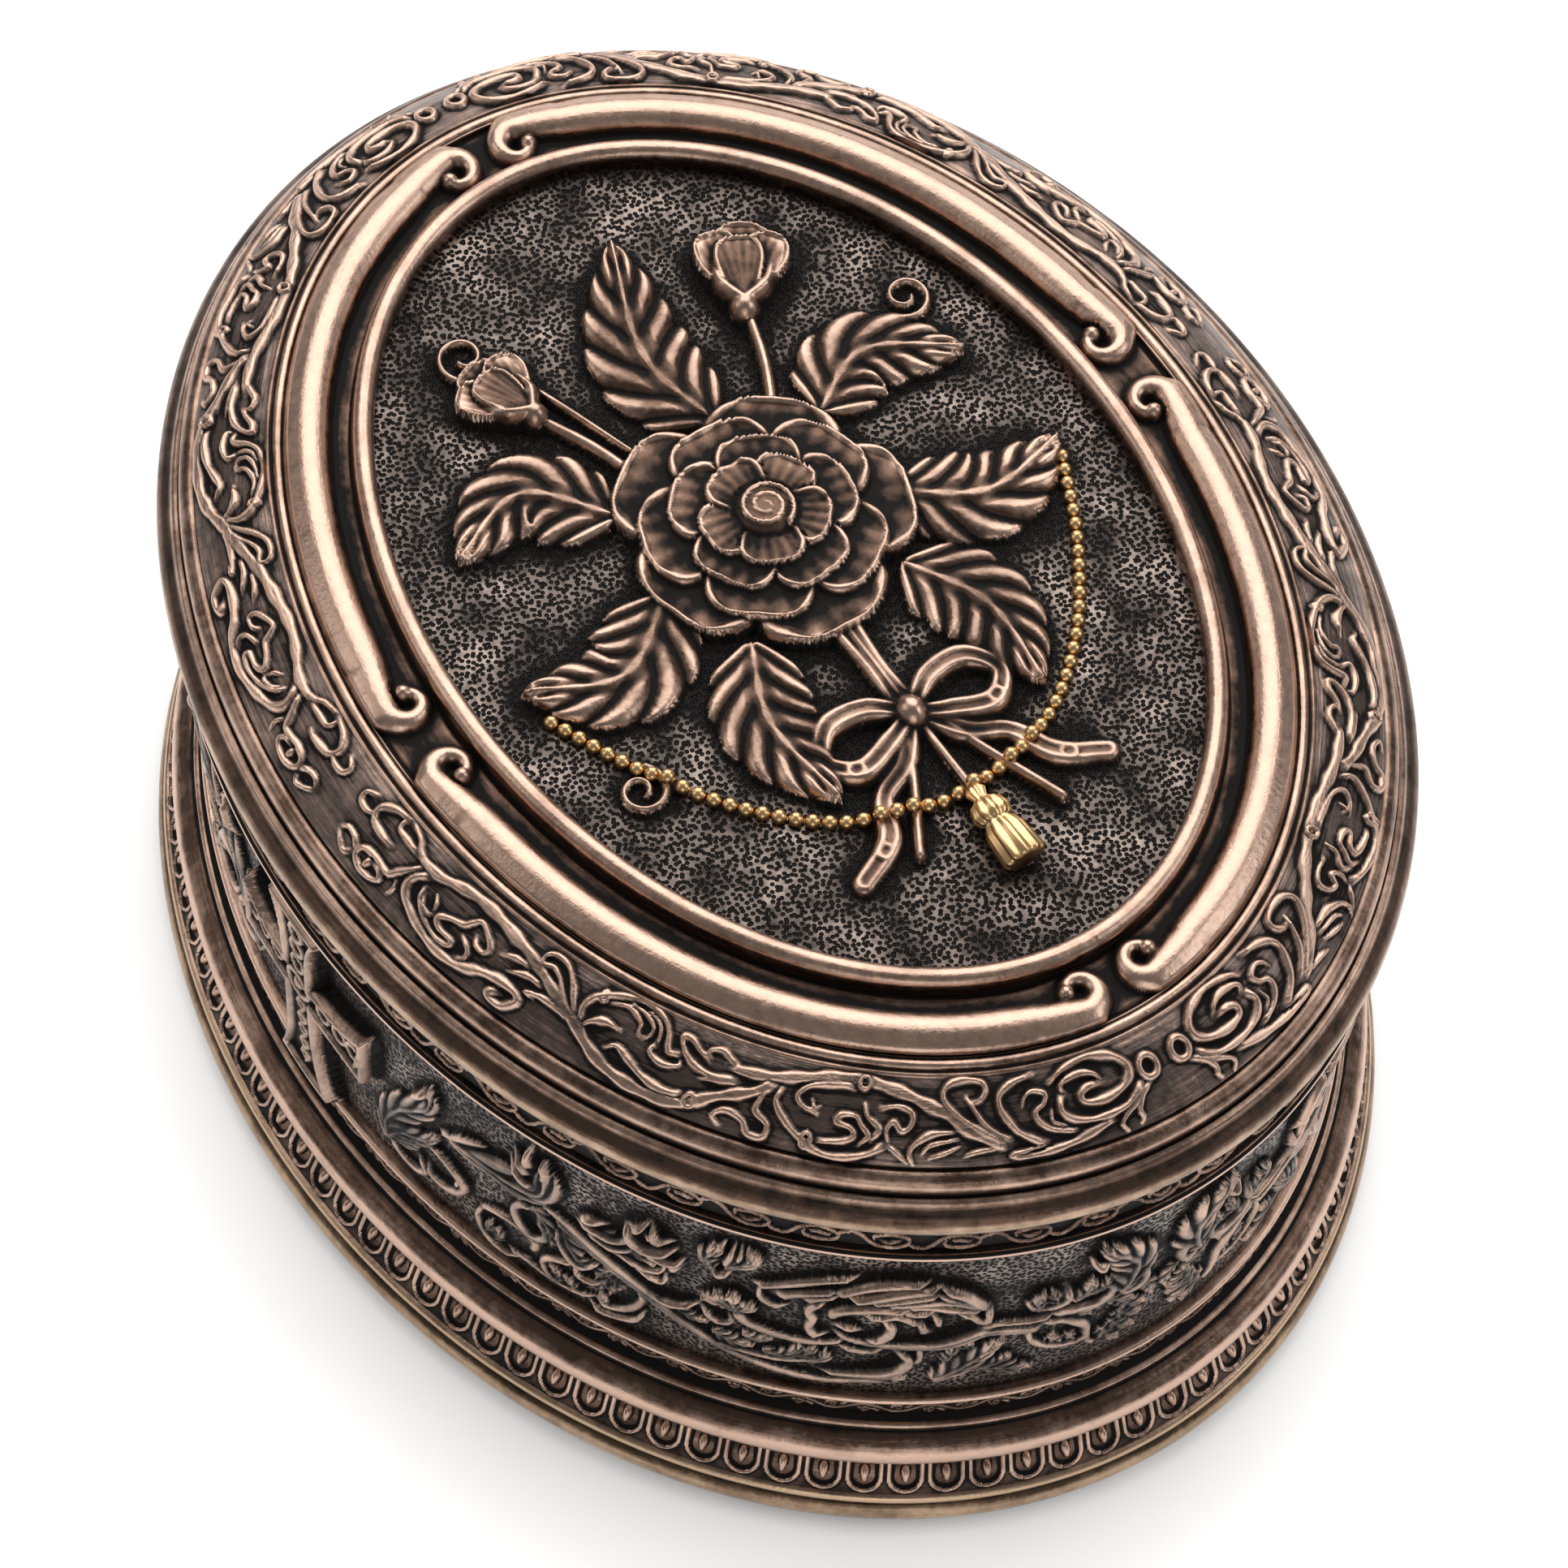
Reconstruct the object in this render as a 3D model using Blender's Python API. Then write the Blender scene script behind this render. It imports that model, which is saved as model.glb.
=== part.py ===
"""Oval trinket box, cast in resin with an antique bronze finish.

Two castings make the box: a footed base and a lid that lifts off. Felt is glued under the foot
and inside. Every moulding runs round one rim oval, set in or out along the oval's normal, so a
casting is one outline of (offset, height) points swept round that oval. The relief is drawn
flat, in distances along and across the surface that carries it, then wrapped on to that surface
and united with the casting. X is the long axis, Z is up, and the felt stands on Z = 0.
"""
import math

import bmesh
import bpy
import numpy as np

# Rim oval, the outermost line of the lid
RIM_LENGTH = 0.1000
RIM_WIDTH = 0.0791
SEGMENTS = 44
ARC_STEPS = 3

# Gaps: between glued or seated faces, and round the lid's lip
SEAT_GAP = 0.0003
LIP_CLEARANCE = 0.0005

# Felt
FELT_THICKNESS = 0.0008
FOOT_FELT_MARGIN = 0.0012
LID_FELT_MARGIN = 0.0020

# Base, from the foot upwards: heights of its mouldings and how far they stand out or in
FOOT_REACH = 0.00245
FOOT_BEAD_HEIGHT = 0.0019
FOOT_BEAD_BULGE = 0.0006
FOOT_LINE_REACH = 0.0019
FOOT_LINE_HEIGHT = 0.0006
FOOT_LINE_BULGE = 0.0002
TONGUE_BAND_REACH = 0.00145
TONGUE_BAND_LEAN = 0.0013
TONGUE_BAND_HEIGHT = 0.0041
TORUS_REACH = 0.0008
TORUS_HEIGHT = 0.0019
TORUS_BULGE = 0.0006
HOLLOW_HEIGHT = 0.0015
HOLLOW_DEPTH = 0.0003
SCROLL_BAND_SET_BACK = 0.0016
SCROLL_BAND_HEIGHT = 0.0017
WALL_LINE_SET_BACK = 0.0013
WALL_LINE_HEIGHT = 0.0006
WALL_SET_BACK = 0.0021
WALL_HEIGHT = 0.0230
BASE_RIM_SET_BACK = 0.0006
BASE_RIM_FLARE = 0.0004
BASE_RIM_HEIGHT = 0.0008
WALL_THICKNESS = 0.0034
FLOOR_THICKNESS = 0.0034
FLOOR_FILLET = 0.0015

# Lid, from the skirt upwards and inwards
SKIRT_SET_BACK = 0.0015
SKIRT_HEIGHT = 0.0034
RIM_BEAD_BULGE = 0.0009
RIM_BEAD_HEIGHT = 0.0030
RIM_LINE_WIDTH = 0.0004
RIM_LINE_RISE = 0.0003
RIM_LINE_BULGE = 0.00012
SMALL_BEAD_WIDTH = 0.0012
SMALL_BEAD_RISE = 0.0007
SMALL_BEAD_BULGE = 0.0004
COVE_UPSTAND = 0.0010
COVE_WIDTH = 0.0052
COVE_RISE = 0.0029
COVE_BULGE = 0.0004
STEP_WIDTH = 0.0007
STEP_RISE = 0.0003
STEP_BULGE = 0.00015
BED_WIDTH = 0.0052
BED_DEPTH = 0.0002
INNER_BEAD_WIDTH = 0.0015
INNER_BEAD_RISE = 0.0008
INNER_BEAD_BULGE = 0.0008
FIELD_DEPTH = 0.0003
LIP_DEPTH = 0.0030
LIP_THICKNESS = 0.0016
LID_THICKNESS = 0.0032
CEILING_FILLET = 0.0020

# Relief: how deep its underside sits in the casting
RELIEF_ROOT = 0.0004

# Tongue-and-drop band round the foot
TONGUE_COUNT = 96
TONGUE_PROUD = 0.0005
TONGUE_WIDTH_SHARE = 0.80
TONGUE_SHOULDER_SHARE = 0.40
TONGUE_SHOULDER_CREST_SHARE = 0.34

# Four C-scroll rolls round the panel, each with a hooked volute at both ends
ROLL_MARGIN = 0.00095
ROLL_RADIUS = 0.00153
ROLL_POINTS = 10
ROLL_SIDES = 5
VOLUTE_RADIUS = 0.00135
VOLUTE_TUBE = 0.0006
VOLUTE_SWEEP = math.radians(250)
VOLUTE_POINTS = 8
VOLUTE_SPACING = 0.0055

# Crosses on the long sides
CROSS_MARGIN = 0.0005
CROSS_WIDTH = 0.0152
CROSS_BAR = 0.0038
CROSS_FLARE = 0.0064
CROSS_PROUD = 0.0014
CROSS_ARM_SHARE = 0.605

# Frieze on the wall, drawn for one quarter and mirrored to the others. Each stroke runs through
# places given as (share of the quarter from the cross, share of the way down the wall). The whole
# drawing is then slid on and down by up to these shares, with its ends kept where they are.
FRIEZE_SLIDE_SHARE = 0.053
FRIEZE_DROP_SHARE = 0.10
STEM_RADIUS = 0.0009
STEM_RISE = 0.0015
STEM_SHARES = (
    ((0.18, 0.42), (0.27, 0.36), (0.37, 0.45), (0.45, 0.65), (0.54, 0.80), (0.65, 0.82),
     (0.75, 0.74)),
    ((0.50, 0.45), (0.57, 0.56), (0.68, 0.56), (0.78, 0.455), (0.91, 0.40)),
    ((0.52, 0.39), (0.57, 0.20), (0.65, 0.10), (0.73, 0.11), (0.77, 0.22), (0.765, 0.35)),
    ((0.55, 0.27), (0.62, 0.17), (0.70, 0.17), (0.745, 0.30)),
    ((0.59, 0.50), (0.58, 0.33), (0.65, 0.23), (0.72, 0.29), (0.71, 0.47)),
    ((0.61, 0.40), (0.64, 0.30), (0.66, 0.42)))
FRIEZE_LEAF_RADIUS = 0.0014
FRIEZE_LEAF_RISE = 0.0017
FRIEZE_LEAF_POINTS = 3
FRIEZE_LEAF_SHARES = (
    ((0.093, 0.84), (0.122, 0.48), (0.138, 0.17)),
    ((0.195, 0.40), (0.265, 0.36), (0.285, 0.12)),
    ((0.305, 0.42), (0.345, 0.42), (0.362, 0.62)),
    ((0.350, 0.66), (0.378, 0.86)),
    ((0.315, 0.36), (0.375, 0.36), (0.405, 0.10)),
    ((0.458, 0.48), (0.525, 0.43)),
    ((0.468, 0.36), (0.510, 0.07)),
    ((0.510, 0.63), (0.575, 0.60), (0.600, 0.73)),
    ((0.605, 0.80), (0.665, 0.74), (0.730, 0.60)),
    ((0.740, 0.84), (0.782, 0.72), (0.800, 0.58)),
    ((0.800, 0.76), (0.840, 0.88)),
    ((0.838, 0.46), (0.828, 0.26)),
    ((0.885, 0.46), (0.905, 0.26)),
    ((0.980, 0.66), (0.975, 0.40), (0.915, 0.14)),
    ((0.925, 0.14), (0.886, 0.11), (0.900, 0.24)),
    ((0.865, 0.54), (0.875, 0.76)),
    ((0.960, 0.68), (0.955, 0.90)))
CURL_RADIUS = 0.0006
CURL_RISE = 0.0012
CURL_REACH = 0.0023
CURL_POINTS = 5
CURL_SWEEP = math.radians(300)
CURL_SHARES = ((0.158, 0.71), (0.254, 0.735), (0.327, 0.765), (0.940, 0.58))

# How thick a stroke is at its two ends, as a share of its middle
STROKE_END_SHARE = 0.35
STROKE_SIDES = 3
LEAF_SIDES = 4

# Rose spray on the lid's panel: the open rose's rings of petals, its heart and its place
ROSE_SHIFT = 0.0025
PETAL_COUNT = 5
OUTER_PETAL = 0.0104
OUTER_PETAL_RISE = 0.0016
MIDDLE_PETAL = 0.0084
MIDDLE_PETAL_RISE = 0.0021
INNER_PETAL = 0.0062
INNER_PETAL_RISE = 0.0027
PETAL_WIDTH_SHARE = 0.95
PETAL_POINT_SHARE = -0.35
HEART_RADIUS = 0.0024
HEART_RISE = 0.0031

# Leaves, stems, buds and ribbon of the spray, through places given as shares of the panel's half
# length and half width. The ribbon is drawn for one side of the stems and mirrored.
SPRAY_LEAF_RADIUS = 0.0034
SPRAY_LEAF_RISE = 0.0016
SPRAY_LEAF_POINTS = 5
SPRAY_LEAF_SHARES = (
    ((-0.30, 0.06), (-0.52, 0.01), (-0.79, 0.14)),
    ((-0.22, 0.32), (-0.30, 0.54), (-0.205, 0.80)),
    ((0.00, 0.34), (0.10, 0.58), (0.06, 0.86)),
    ((0.13, 0.24), (0.31, 0.37), (0.51, 0.36)),
    ((0.13, -0.24), (0.32, -0.34), (0.53, -0.31)),
    ((-0.03, -0.35), (0.09, -0.60), (0.015, -0.87)),
    ((-0.22, -0.33), (-0.37, -0.53), (-0.295, -0.79)))
SPRAY_STEM_RADIUS = 0.00055
SPRAY_STEM_RISE = 0.0011
SPRAY_STEM_SHARES = (
    ((0.11, -0.04), (0.34, -0.02), (0.49, -0.06), (0.70, -0.22)),
    ((0.11, 0.04), (0.34, 0.02), (0.49, 0.07), (0.73, 0.20)),
    ((0.44, 0.0), (0.81, 0.015)),
    ((-0.26, 0.20), (-0.54, 0.35)),
    ((-0.26, -0.20), (-0.54, -0.36)))
BUD_SHARES = ((-0.50, 0.34), (-0.50, -0.35))
BUD_TURNS = (math.radians(150), math.radians(-158))
BUD_LENGTHS = (0.0080, 0.0068)
BUD_WIDTH_SHARE = 0.75
BUD_RISE = 0.0025
RIBBON_RADIUS = 0.0009
RIBBON_RISE = 0.0016
RIBBON_SHARES = (
    ((0.435, 0.0), (0.385, 0.11), (0.38, 0.22), (0.44, 0.28), (0.49, 0.21), (0.47, 0.10),
     (0.435, 0.0)),
    ((0.435, 0.0), (0.52, 0.10), (0.56, 0.205), (0.65, 0.27), (0.70, 0.40)))
KNOT_RADIUS = 0.0015
KNOT_RISE = 0.0021

# Garland of gilt beads that hangs below the rose, and the tassel at its lowest point
GARLAND_RADIUS = 0.0006
GARLAND_RISE = 0.0011
GARLAND_SHARES = ((0.09, 0.835), (0.275, 0.70), (0.45, 0.525), (0.58, 0.295), (0.63, 0.0))
TASSEL_SHARE = 0.63
TASSEL_LENGTH = 0.0065
TASSEL_WIDTH = 0.0028
TASSEL_RISE = 0.0023

# Domes: their shoulder's spread and height as shares of the whole
DOME_SIDES = 6
DOME_SHOULDER_SHARE = 0.62
DOME_SHOULDER_RISE_SHARE = 0.78

# Half-round rods start and end this far below their widest line
ROD_TUCK = math.radians(30)

HALF_LENGTH = RIM_LENGTH / 2
HALF_WIDTH = RIM_WIDTH / 2
FULL_TURN = 2 * math.pi

BASE_BOTTOM = FELT_THICKNESS + SEAT_GAP
TONGUE_BAND_BOTTOM = BASE_BOTTOM + FOOT_BEAD_HEIGHT + FOOT_LINE_HEIGHT
TORUS_BOTTOM = TONGUE_BAND_BOTTOM + TONGUE_BAND_HEIGHT
SCROLL_BAND_BOTTOM = TORUS_BOTTOM + TORUS_HEIGHT + HOLLOW_HEIGHT
WALL_BOTTOM = SCROLL_BAND_BOTTOM + SCROLL_BAND_HEIGHT + WALL_LINE_HEIGHT
WALL_TOP = WALL_BOTTOM + WALL_HEIGHT
BASE_TOP = WALL_TOP + BASE_RIM_FLARE + BASE_RIM_HEIGHT
BASE_INSIDE = -(WALL_SET_BACK + WALL_THICKNESS)
FLOOR_TOP = BASE_BOTTOM + FLOOR_THICKNESS
LID_BOTTOM = BASE_TOP + SEAT_GAP
LIP_OUTSIDE = BASE_INSIDE - LIP_CLEARANCE
LIP_INSIDE = LIP_OUTSIDE - LIP_THICKNESS
LIP_BOTTOM = LID_BOTTOM - LIP_DEPTH
LINING_OUTSIDE = BASE_INSIDE - SEAT_GAP
LINING_TOP = LIP_BOTTOM - FELT_THICKNESS


def finish(name, colour, roughness, metallic):
    """A plain Principled material of one colour."""
    material = bpy.data.materials.new(name)
    material.use_nodes = True
    shader = material.node_tree.nodes["Principled BSDF"]
    shader.inputs["Base Color"].default_value = (*colour, 1)
    shader.inputs["Roughness"].default_value = roughness
    shader.inputs["Metallic"].default_value = metallic
    material.diffuse_color = (*colour, 1)
    return material


def oval_normal(angle):
    """Outward unit normal of the rim oval."""
    normal = np.stack([HALF_WIDTH * np.cos(angle), HALF_LENGTH * np.sin(angle)], -1)
    return normal / np.linalg.norm(normal, axis=-1, keepdims=True)


def oval_point(angle, offset):
    """Point of the rim oval, moved outward along its normal by the offset."""
    angle = np.asarray(angle, float)
    point = np.stack([HALF_LENGTH * np.cos(angle), HALF_WIDTH * np.sin(angle)], -1)
    return point + np.asarray(offset)[..., None] * oval_normal(angle)


def angle_at(distance, offset):
    """Angle of the oval at a distance along its offset line, measured from the +X end."""
    table = np.linspace(-FULL_TURN, FULL_TURN, 32 * SEGMENTS + 1)
    points = oval_point(table, offset)
    runs = np.linalg.norm(np.diff(points, axis=0), axis=1)
    travelled = np.concatenate([[0], np.cumsum(runs)])
    travelled -= np.interp(0, table, travelled)
    return np.interp(distance, travelled, table)


def oval_length(offset):
    """Length once round the oval's offset line."""
    points = oval_point(np.linspace(0, FULL_TURN, 32 * SEGMENTS + 1), offset)
    return float(np.linalg.norm(np.diff(points, axis=0), axis=1).sum())


def arc(start, end, bulge, steps=ARC_STEPS):
    """Points after start, up to end, on the arc that stands this far off their straight line."""
    start = np.array(start)
    run = np.array(end) - start
    chord = np.linalg.norm(run)
    side = np.array([run[1], -run[0]]) / chord
    half_angle = 2 * math.atan2(2 * abs(bulge), chord)
    radius = chord / (2 * math.sin(half_angle))
    points = []
    for step in range(1, steps + 1):
        angle = half_angle * (2 * step / steps - 1)
        along = chord / 2 + radius * math.sin(angle)
        off = math.copysign(radius * (math.cos(angle) - math.cos(half_angle)), bulge)
        points.append(tuple(start + run / chord * along + side * off))
    return points


def stepped(outline, width, rise):
    """The outline's last point moved inward by width and up by rise."""
    offset, height = outline[-1]
    return (offset - width, height + rise)


def ring_faces(rings, sides, closed_ends):
    """Quads between successive rings of points, and a cap on the first and last ring."""
    faces = []
    for ring in range(rings - 1):
        for side in range(sides):
            after = (side + 1) % sides
            low = ring * sides
            high = low + sides
            faces.append((low + side, low + after, high + after, high + side))
    if closed_ends:
        faces.append(tuple(reversed(range(sides))))
        faces.append(tuple(range((rings - 1) * sides, rings * sides)))
    return faces


def solid(name, points, faces):
    """A mesh object from points and faces."""
    mesh = bpy.data.meshes.new(name)
    mesh.from_pydata([tuple(point) for point in points], [], faces)
    mesh.update()
    thing = bpy.data.objects.new(name, mesh)
    bpy.context.scene.collection.objects.link(thing)
    return thing


def swept(name, outline):
    """A solid from an outline of (offset, height) points carried round the oval, ends capped."""
    angles = np.arange(SEGMENTS) * FULL_TURN / SEGMENTS
    rings = []
    for offset, height in outline:
        flat = oval_point(angles, np.full(SEGMENTS, offset))
        rings.append(np.column_stack([flat, np.full(SEGMENTS, height)]))
    return solid(name, np.concatenate(rings), ring_faces(len(outline), SEGMENTS, True))


def swept_ring(name, outline):
    """A ring from a closed outline of (offset, height) points carried round the oval."""
    angles = np.arange(SEGMENTS) * FULL_TURN / SEGMENTS
    rings = []
    for offset, height in outline + outline[:1]:
        flat = oval_point(angles, np.full(SEGMENTS, offset))
        rings.append(np.column_stack([flat, np.full(SEGMENTS, height)]))
    count = len(outline) * SEGMENTS
    faces = [tuple(corner % count for corner in face)
             for face in ring_faces(len(rings), SEGMENTS, False)]
    return solid(name, np.concatenate(rings[:-1]), faces)


def on_wall(points, low, high):
    """Relief drawn as (distance from the +X end, share up the face, height), wrapped on a face.

    low and high are the (offset, height) points at the foot and head of that face.
    """
    low = np.array(low)
    run = np.array(high) - low
    side = np.array([run[1], -run[0]]) / np.linalg.norm(run)
    profile = low + points[:, 1:2] * run + points[:, 2:3] * side
    angle = angle_at(points[:, 0], (low[0] + high[0]) / 2)
    flat = oval_point(angle, profile[:, 0])
    return np.column_stack([flat, profile[:, 1]])


def half_round(path, radius, rise, sides):
    """A half-round rod along a flat path: points as (across, up the drawing, height)."""
    tangent = np.gradient(path, axis=0)
    tangent /= np.linalg.norm(tangent, axis=1, keepdims=True)
    normal = np.column_stack([tangent[:, 1], -tangent[:, 0]])
    radius = np.broadcast_to(radius, len(path))
    rise = np.broadcast_to(rise, len(path))
    turns = np.linspace(-ROD_TUCK, math.pi + ROD_TUCK, sides)
    flat = path[:, None] + normal[:, None] * (radius[:, None] * np.cos(turns))[..., None]
    height = rise[:, None] * np.sin(turns)
    height = np.where(np.sin(turns) < 0, -RELIEF_ROOT, height)
    points = np.concatenate([flat, height[..., None]], axis=2)
    return points.reshape(-1, 3), ring_faces(len(path), sides, True)


def dome(centre, direction, length, width, rise, point_share):
    """A petal or leaf from its stalk end at centre: an oval dome, narrowed towards its tip."""
    count = DOME_SIDES
    turns = np.arange(count) * FULL_TURN / count
    along = np.cos(turns) / 2 + 1 / 2
    across = np.sin(turns) / 2 * (1 - point_share * along)
    shoulder = rise * DOME_SHOULDER_RISE_SHARE
    ahead = np.array([math.cos(direction), math.sin(direction)])
    aside = np.array([-ahead[1], ahead[0]])
    rings = []
    for spread, height in ((1, -RELIEF_ROOT), (DOME_SHOULDER_SHARE, shoulder)):
        shrunk = 1 / 2 + (along - 1 / 2) * spread
        flat = (centre + np.outer(shrunk * length, ahead)
                + np.outer(across * spread * width, aside))
        rings.append(np.column_stack([flat, np.full(count, height)]))
    crest = np.append(centre + ahead * length / 2, rise)
    faces = ring_faces(2, count, False)
    faces.append(tuple(reversed(range(count))))
    faces += [(count + i, count + (i + 1) % count, 2 * count) for i in range(count)]
    return np.concatenate(rings + [crest[None]]), faces


def relief(name, pieces):
    """All relief bodies of one casting as one cutter object."""
    points = []
    faces = []
    start = 0
    for piece_points, piece_faces in pieces:
        points.append(piece_points)
        faces += [tuple(corner + start for corner in face) for face in piece_faces]
        start += len(piece_points)
    thing = solid(name, np.concatenate(points), faces)
    outward(thing)
    thing.hide_render = True
    thing.display_type = "WIRE"
    return thing


def outward(thing):
    """Turn the faces of a solid outwards."""
    work = bmesh.new()
    work.from_mesh(thing.data)
    bmesh.ops.recalc_face_normals(work, faces=work.faces)
    work.to_mesh(thing.data)
    work.free()


def united(thing, cutter):
    """Fuse relief into its casting."""
    boolean = thing.modifiers.new("relief", "BOOLEAN")
    boolean.operation = "UNION"
    boolean.object = cutter
    boolean.solver = "EXACT"
    boolean.use_self = True


def smooth(thing, material):
    """Give a piece its material and smooth shading between sharp edges."""
    outward(thing)
    thing.data.materials.append(material)
    thing.data.shade_smooth()
    thing.data.set_sharp_from_angle(angle=math.radians(40))


def base_outline():
    """Base casting, from under the foot, up the outside, over the rim and down to the floor."""
    foot = FOOT_REACH - FOOT_BEAD_BULGE
    line = FOOT_LINE_REACH - FOOT_LINE_BULGE
    line_bottom = BASE_BOTTOM + FOOT_BEAD_HEIGHT
    torus = TORUS_REACH - TORUS_BULGE
    torus_top = TORUS_BOTTOM + TORUS_HEIGHT
    scroll_top = SCROLL_BAND_BOTTOM + SCROLL_BAND_HEIGHT
    rim = -(BASE_RIM_SET_BACK + BASE_RIM_FLARE)
    outline = [(foot, BASE_BOTTOM)]
    outline += arc(outline[-1], (foot, line_bottom), FOOT_BEAD_BULGE, 4)
    outline.append((line, line_bottom))
    outline += arc(outline[-1], (line, TONGUE_BAND_BOTTOM), FOOT_LINE_BULGE, 2)
    outline += tongue_face()
    outline.append((torus, TORUS_BOTTOM))
    outline += arc(outline[-1], (torus, torus_top), TORUS_BULGE, 4)
    outline += arc(outline[-1], (-SCROLL_BAND_SET_BACK, SCROLL_BAND_BOTTOM), -HOLLOW_DEPTH, 2)
    outline.append((-SCROLL_BAND_SET_BACK, scroll_top))
    outline.append((-WALL_LINE_SET_BACK, scroll_top + WALL_LINE_HEIGHT / 2))
    outline += wall_face()
    outline.append((rim, WALL_TOP + BASE_RIM_FLARE))
    outline += arc(outline[-1], (rim, BASE_TOP), BASE_RIM_FLARE, 2)
    outline.append((BASE_INSIDE, BASE_TOP))
    outline.append((BASE_INSIDE, FLOOR_TOP + FLOOR_FILLET))
    outline.append((BASE_INSIDE - FLOOR_FILLET, FLOOR_TOP))
    return outline


def tongue_face():
    """Foot and head of the sloping face that carries the tongues."""
    return [(TONGUE_BAND_REACH, TONGUE_BAND_BOTTOM),
            (TONGUE_BAND_REACH - TONGUE_BAND_LEAN, TORUS_BOTTOM)]


def wall_face():
    """Foot and head of the upright wall that carries the frieze."""
    return [(-WALL_SET_BACK, WALL_BOTTOM), (-WALL_SET_BACK, WALL_TOP)]


def lid_outline():
    """Lid casting, from its ceiling down inside the lip, then up the outside to the panel."""
    outside = lid_outside()
    ceiling = outside[-1][1] - LID_THICKNESS
    outline = [(LIP_INSIDE - CEILING_FILLET, ceiling), (LIP_INSIDE, ceiling - CEILING_FILLET)]
    outline += [(LIP_INSIDE, LIP_BOTTOM), (LIP_OUTSIDE, LIP_BOTTOM), (LIP_OUTSIDE, LID_BOTTOM)]
    return outline + outside


def lid_outside():
    """Outer mouldings of the lid, from the skirt's foot up and in to the sunk panel."""
    bead_bottom = LID_BOTTOM + SKIRT_HEIGHT
    outline = [(-SKIRT_SET_BACK, LID_BOTTOM), (-SKIRT_SET_BACK, bead_bottom)]
    outline.append((-RIM_BEAD_BULGE, bead_bottom))
    outline += arc(outline[-1], stepped(outline, 0, RIM_BEAD_HEIGHT), RIM_BEAD_BULGE, 4)
    outline += arc(outline[-1], stepped(outline, RIM_LINE_WIDTH, RIM_LINE_RISE), RIM_LINE_BULGE, 2)
    outline += arc(outline[-1], stepped(outline, SMALL_BEAD_WIDTH, SMALL_BEAD_RISE),
                   SMALL_BEAD_BULGE)
    outline.append(stepped(outline, 0, COVE_UPSTAND))
    outline += arc(outline[-1], stepped(outline, COVE_WIDTH, COVE_RISE), COVE_BULGE)
    outline += arc(outline[-1], stepped(outline, STEP_WIDTH, STEP_RISE), STEP_BULGE, 2)
    outline += arc(outline[-1], stepped(outline, BED_WIDTH, 0), -BED_DEPTH, 2)
    outline.append(stepped(outline, 0, INNER_BEAD_RISE))
    outline += arc(outline[-1], stepped(outline, INNER_BEAD_WIDTH, 0), INNER_BEAD_BULGE)
    outline.append(stepped(outline, 0, -FIELD_DEPTH - INNER_BEAD_RISE))
    return outline


def lid_bed():
    """Outer edge of the bed that carries the rolls, as (offset, height)."""
    panel_edge, panel = lid_outside()[-1]
    return (panel_edge + INNER_BEAD_WIDTH + BED_WIDTH, panel + FIELD_DEPTH)


def tongues():
    """Pointed tongues side by side round the foot, each with a crest down its middle."""
    low, high = tongue_face()
    pitch = oval_length((low[0] + high[0]) / 2) / TONGUE_COUNT
    half = pitch * TONGUE_WIDTH_SHARE / 2
    shoulder = TONGUE_SHOULDER_SHARE
    rim = [(-half, 1), (-half, shoulder), (0, 0), (half, shoulder), (half, 1)]
    faces = [(0, 4, 3, 2, 1), (0, 1, 5, 6), (1, 2, 5), (2, 3, 5), (3, 4, 6, 5), (4, 0, 6)]
    pieces = []
    for number in range(TONGUE_COUNT):
        middle = pitch * (number + 1 / 2)
        points = [(middle + across, up, -RELIEF_ROOT) for across, up in rim]
        points.append((middle, TONGUE_SHOULDER_CREST_SHARE, TONGUE_PROUD))
        points.append((middle, 1, TONGUE_PROUD))
        pieces.append((on_wall(np.array(points), low, high), faces))
    return pieces


def rolls():
    """Four half-round rolls on the lid's bed, each hooked inward into a volute at both ends."""
    edge, height = lid_bed()
    offset = edge - ROLL_MARGIN - ROLL_RADIUS
    gap = VOLUTE_SPACING / 2
    quarter = oval_length(offset) / 4
    curl = np.linspace(0, VOLUTE_SWEEP, VOLUTE_POINTS)[1:]
    taper = np.linspace(ROLL_RADIUS, VOLUTE_TUBE, VOLUTE_POINTS)[1:]
    radius = np.concatenate([taper[::-1], np.full(ROLL_POINTS, ROLL_RADIUS), taper])
    pieces = []
    for number in range(4):
        runs = np.linspace(gap, quarter - gap, ROLL_POINTS) + number * quarter
        angles = angle_at(runs, offset)
        middle = oval_point(angles, offset)
        start = volute(middle[0], oval_normal(angles[0]), -1, curl)
        end = volute(middle[-1], oval_normal(angles[-1]), 1, curl)
        path = np.concatenate([start[::-1], middle, end])
        pieces.append(half_round(path, radius, radius, ROLL_SIDES))
    return raised(pieces, height)


def volute(root, normal, sense, curl):
    """Path that hooks inward from a roll's end, round an eye one volute radius inside it."""
    ahead = sense * np.array([-normal[1], normal[0]])
    eye = root - VOLUTE_RADIUS * normal
    return eye + VOLUTE_RADIUS * (np.outer(np.cos(curl), normal) + np.outer(np.sin(curl), ahead))


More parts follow.
